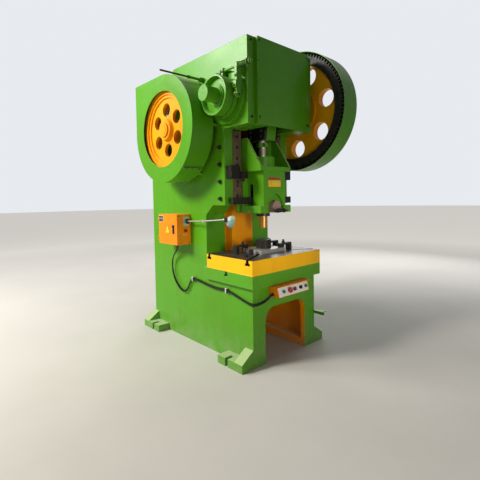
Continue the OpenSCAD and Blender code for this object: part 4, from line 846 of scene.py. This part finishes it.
mesh = bmesh.new()
addOnDoor(mesh, 0.0012, 0.0003, door["rimY"], door["rimZ"], 0.0005)
keep(mesh, "doorPlateRim", "plate_white", "door")
mesh = bmesh.new()
fieldY, fieldZ = ((span[0] + door["edge"], span[1] - door["edge"]) for span in (door["rimY"], door["rimZ"]))
addOnDoor(mesh, 0.0018, -0.0010, fieldY, fieldZ, 0.0003)
keep(mesh, "doorPlate", "plate_dark", "door")
mesh = bmesh.new()
for span in door["fieldY"]:
    addOnDoor(mesh, 0.0023, -0.0017, span, door["fieldZ"], 0.0002)
keep(mesh, "doorPlateFields", "plate_white", "door")
for inset, finish, name in ((0.0, "plate_dark", "trianglePlateRim"), (0.0045, "plate_yellow", "trianglePlate")):
    mesh = bmesh.new()
    matrix = Matrix.Translation((door["x"] - 0.0004 - inset * 0.2, *door["triangle"]))
    matrix = matrix @ Matrix.Diagonal(door["squash"]) @ rolled(-90, "Y") @ rolled(-90, "Z")
    radius = door["triangleR"] - inset
    bmesh.ops.create_cone(
        mesh, cap_ends=True, segments=3, radius1=radius, radius2=radius, depth=0.0014, matrix=matrix)
    corners = [edge for edge in mesh.edges if abs((edge.verts[0].co - edge.verts[1].co).x) > 0.001]
    bmesh.ops.bevel(
        mesh, geom=corners, offset=door["corner"], segments=4, affect="EDGES", profile=0.5, material=-1)
    keep(mesh, name, finish, "door")
mesh = bmesh.new()
addOnDoor(mesh, 0.003, 0.0003, door["lockY"], door["lockZ"], 0.0014)
addTurned(mesh, door["bezel"], (door["x"], *door["keyhole"]), (-1, 0, 0), 36)
addOnDoor(mesh, 0.0095, -0.002, door["gripY"], door["gripZ"], 0.002)
keep(mesh, "doorLock", "black_plastic", "door")

boxTrim = {
    "front": 0.5288, "labelX": (-0.443, -0.399), "labelZ": (0.9435, 0.9495),
    "screwX": (-0.478, -0.378), "screwZ": (0.872, 1.106),
}
mesh = bmesh.new()
low = (boxTrim["labelX"][0], boxTrim["front"] - 0.001, boxTrim["labelZ"][0])
high = (boxTrim["labelX"][1], boxTrim["front"] + 0.0004, boxTrim["labelZ"][1])
addBlock(mesh, low, high, 0.0004)
keep(mesh, "boxLabel", "plate_white", "frame")
mesh = bmesh.new()
for x in boxTrim["screwX"]:
    for z in boxTrim["screwZ"]:
        at = (x, boxTrim["front"] + 0.0003, z)
        addDisc(mesh, at, (0, -1, 0), 0.005, 0.003, top=0.0035, sides=18, bevel=0.0007)
keep(mesh, "boxScrews", "dark_steel", "frame")
print("box trimmed")

# lamp: a domed shade with a rolled edge, in place of the plain bell, aimed at the die
lamp = {
    "neck": (-0.4395, -0.0235, 1.0935), "aim": (0.90, -0.30, -0.30), "swivel": (-0.416, 0.4995, 1.060),
    "outside": [
        (0.0, 0.004), (0.013, 0.004), (0.0145, 0.008), (0.0145, 0.020), (0.020, 0.024), (0.026, 0.0255),
        (0.033, 0.030), (0.040, 0.038), (0.0448, 0.049), (0.047, 0.062), (0.0482, 0.0655),
    ],
    "inside": [
        (0.0464, 0.067), (0.0448, 0.062), (0.0428, 0.050), (0.038, 0.040), (0.031, 0.032), (0.018, 0.027),
        (0.0, 0.026),
    ],
    "collar": [
        (0.0, -0.006), (0.009, -0.006), (0.0125, -0.002), (0.0155, 0.002), (0.0155, 0.017), (0.0145, 0.019),
        (0.0, 0.019),
    ],
    "bulb": [
        (0.0, 0.027), (0.014, 0.028), (0.024, 0.036), (0.026, 0.046), (0.021, 0.056), (0.010, 0.0605),
        (0.0, 0.061),
    ],
    "cap": [(0.0, 0.0), (0.021, 0.0), (0.023, 0.003), (0.020, 0.008), (0.0, 0.008)],
}
mesh = bmesh.new()
addTurned(mesh, lamp["outside"] + lamp["inside"], lamp["neck"], lamp["aim"], 56)
shade = keep(mesh, "lampDome", "dome_teal_shaded", "lamp_head")
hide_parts("lamp_shade")
mesh = bmesh.new()
addTurned(mesh, lamp["collar"], lamp["neck"], lamp["aim"], 36)
keep(mesh, "lampNeck", "black_plastic", "lamp_head")
mesh = bmesh.new()
addTurned(mesh, lamp["bulb"], lamp["neck"], lamp["aim"], 36)
keep(mesh, "lampBulb", "plate_white", "lamp_head")
mesh = bmesh.new()
addTurned(mesh, lamp["cap"], lamp["swivel"], (0, -1, 0), 36)
keep(mesh, "lampSwivelCap", "black_plastic", "frame")
print("lamp made")

# motor: ribs along its shell, rings of its fan cowl
motorTrim = {
    "y": 0.915, "z": 2.150, "r": 0.1065, "ribs": 32, "footFrom": -0.72, "x": (-0.262, -0.012),
    "half": (0.005, 0.0016), "cowlX": 0.0598, "disc": (0.030, 0.002), "rings": (0.045, 0.060, 0.075, 0.090),
    "ring": (0.004, 0.0015),
}
(left, right), (halfY, halfZ) = motorTrim["x"], motorTrim["half"]
mesh = bmesh.new()
for index in range(motorTrim["ribs"]):
    turn = math.tau * (index + 0.5) / motorTrim["ribs"]
    if math.sin(turn) < motorTrim["footFrom"]:
        continue  # the foot is here
    y, z = motorTrim["y"] + motorTrim["r"] * math.cos(turn), motorTrim["z"] + motorTrim["r"] * math.sin(turn)
    low, high = (left, y - halfY, z - halfZ), (right, y + halfY, z + halfZ)
    addBlock(mesh, low, high, 0.0008, Matrix.Rotation(turn, 4, "X"))
keep(mesh, "motorRibs", "motor_grey", "frame")
mesh = bmesh.new()
centre = (motorTrim["cowlX"], motorTrim["y"], motorTrim["z"])
wide, thick = motorTrim["disc"]
addTurned(mesh, [(0.0, 0.0), (wide, 0.0), (wide, thick), (0.0, thick)], centre, (1, 0, 0), 36)
wide, thick = motorTrim["ring"]
for near in motorTrim["rings"]:
    far = near + wide
    addTurned(mesh, [(near, 0.0), (far, 0.0), (far, thick), (near, thick), (near, 0.0)], centre, (1, 0, 0), 48)
keep(mesh, "fanGrille", "dark_steel", "frame")
print("motor trimmed")

# table: weld beads under its sides and front
weld = {
    "z": 0.5985, "r": 0.0045, "sideX": 0.367, "sideY": (-0.20, 0.05, 0.28), "frontY": -0.238,
    "frontX": (-0.32, 0.0, 0.32),
}
mesh = bmesh.new()
for x in (-weld["sideX"], weld["sideX"]):
    addTube(mesh, [(x, y, weld["z"]) for y in weld["sideY"]], weld["r"], 10)
addTube(mesh, [(x, weld["frontY"], weld["z"]) for x in weld["frontX"]], weld["r"], 10)
keep(mesh, "tableWelds", "frame_green", "frame")

# leads: a pale band round each clip
clip = {
    "places": ((0.480, 0.560), (0.035, 0.537)), "x": (-0.3950, -0.3926), "half": (0.0065, 0.0195),
    "tabX": (-0.3945, -0.3700), "tabHalf": 0.0060, "tabZ": (0.0188, 0.0206),
}
(left, right), (halfY, halfZ) = clip["x"], clip["half"]
(near, far), tabHalf, (low, high) = clip["tabX"], clip["tabHalf"], clip["tabZ"]
mesh = bmesh.new()
for y, z in clip["places"]:
    addBlock(mesh, (left, y - halfY, z - halfZ), (right, y + halfY, z + halfZ), 0.001)
    addBlock(mesh, (near, y - tabHalf, z + low), (far, y + tabHalf, z + high), 0.0006)
keep(mesh, "clipBands", "plate_white", "frame")
print("bed trimmed")


# the studio: a pale round floor, a sky and soft boxes; `glow` is the floor's own light far from the press
studio = {
    "floorR": 40, "glowFrom": 1.6, "glowTo": 8, "glow": 0.8, "mirrored": 0.5, "skyDim": 0.14, "skyBright": 1.0,
}


def glowSeen(tree):  # 1 where the camera looks, less in reflections, 0 for the light on the press
    rays = add(tree, "LightPath").outputs
    mirrored = times(tree, rays["Is Glossy Ray"], studio["mirrored"])
    direct = calc(tree, "ADD", rays["Is Camera Ray"], mirrored)
    return calc(tree, "ADD", direct, rays["Is Transmission Ray"], True)


def makeFloor():
    mesh = bmesh.new()
    bmesh.ops.create_circle(mesh, cap_ends=True, segments=96, radius=studio["floorR"])
    data = bpy.data.meshes.new("studioFloor")
    mesh.to_mesh(data)
    mesh.free()
    floor = bpy.data.objects.new("studioFloor", data)
    bpy.context.scene.collection.objects.link(floor)
    material, tree, shader = startMaterial("studio floor", specular=0.25)
    cloud = noiseAt(tree, place(tree), 0.8, 4, 0.6)
    shown = mixColour(tree, fit(tree, cloud, 0.3, 0.7), rgba("floorLow"), rgba("floorHigh"))
    tree.links.new(shown, shader["Base Color"])
    shader["Roughness"].default_value = 0.85
    shader["Emission Color"].default_value = rgba("floorHigh")
    far = fit(tree, lengthOf(tree, place(tree)), studio["glowFrom"], studio["glowTo"], 0, studio["glow"])
    tree.links.new(times(tree, glowSeen(tree), far), shader["Emission Strength"])
    data.materials.append(material)


def makeSky():
    world = bpy.data.worlds.new("studioSky")
    bpy.context.scene.world = world
    world.use_nodes = True
    tree = world.node_tree
    sky = tree.nodes["Background"].inputs
    seen = glowSeen(tree)
    tree.links.new(mixColour(tree, seen, rgba("skyLight"), rgba("skySeen")), sky["Color"])
    tree.links.new(fit(tree, seen, 0, 1, studio["skyDim"], studio["skyBright"]), sky["Strength"])


def softbox(name, at, aim, size, watts, tint, spread=180):
    data = bpy.data.lights.new(name, "AREA")
    data.shape = "RECTANGLE"
    data.size, data.size_y = size, size
    data.spread = math.radians(spread)
    data.energy = watts
    data.color = tint
    light = bpy.data.objects.new(name, data)
    light.location = at
    light.rotation_euler = (Vector(aim) - Vector(at)).to_track_quat("-Z", "Y").to_euler()
    light.visible_camera = False
    bpy.context.scene.collection.objects.link(light)


makeFloor()
makeSky()
bpy.context.scene.view_settings.view_transform = "Standard"
softbox("keyBox", (-5.0, 2.0, 4.3), (0, 0.2, 1.1), 1.3, 335, (1.0, 0.96, 0.88))
softbox("rearPanel", (-4.1, 3.9, 4.5), (0, 0.2, 1.6), 1.8, 170, (1.0, 0.98, 0.94))
softbox("frontFill", (0.8, -5.0, 1.6), (0, 0, 0.9), 3.0, 10, (1.0, 0.95, 0.88))
softbox("throatBox", (-0.9, -2.7, 1.15), (0.02, 0.1, 0.88), 0.9, 2.2, (1.0, 0.92, 0.80), 42)
softbox("backFill", (3.6, 3.6, 3.0), (0, 0.3, 1.2), 3.0, 80, (0.96, 0.98, 1.0))
softbox("rightFill", (5.2, 0.5, 2.6), (0.3, 0.2, 1.1), 2.6, 70, (0.97, 0.98, 1.0))
print("studio lit")
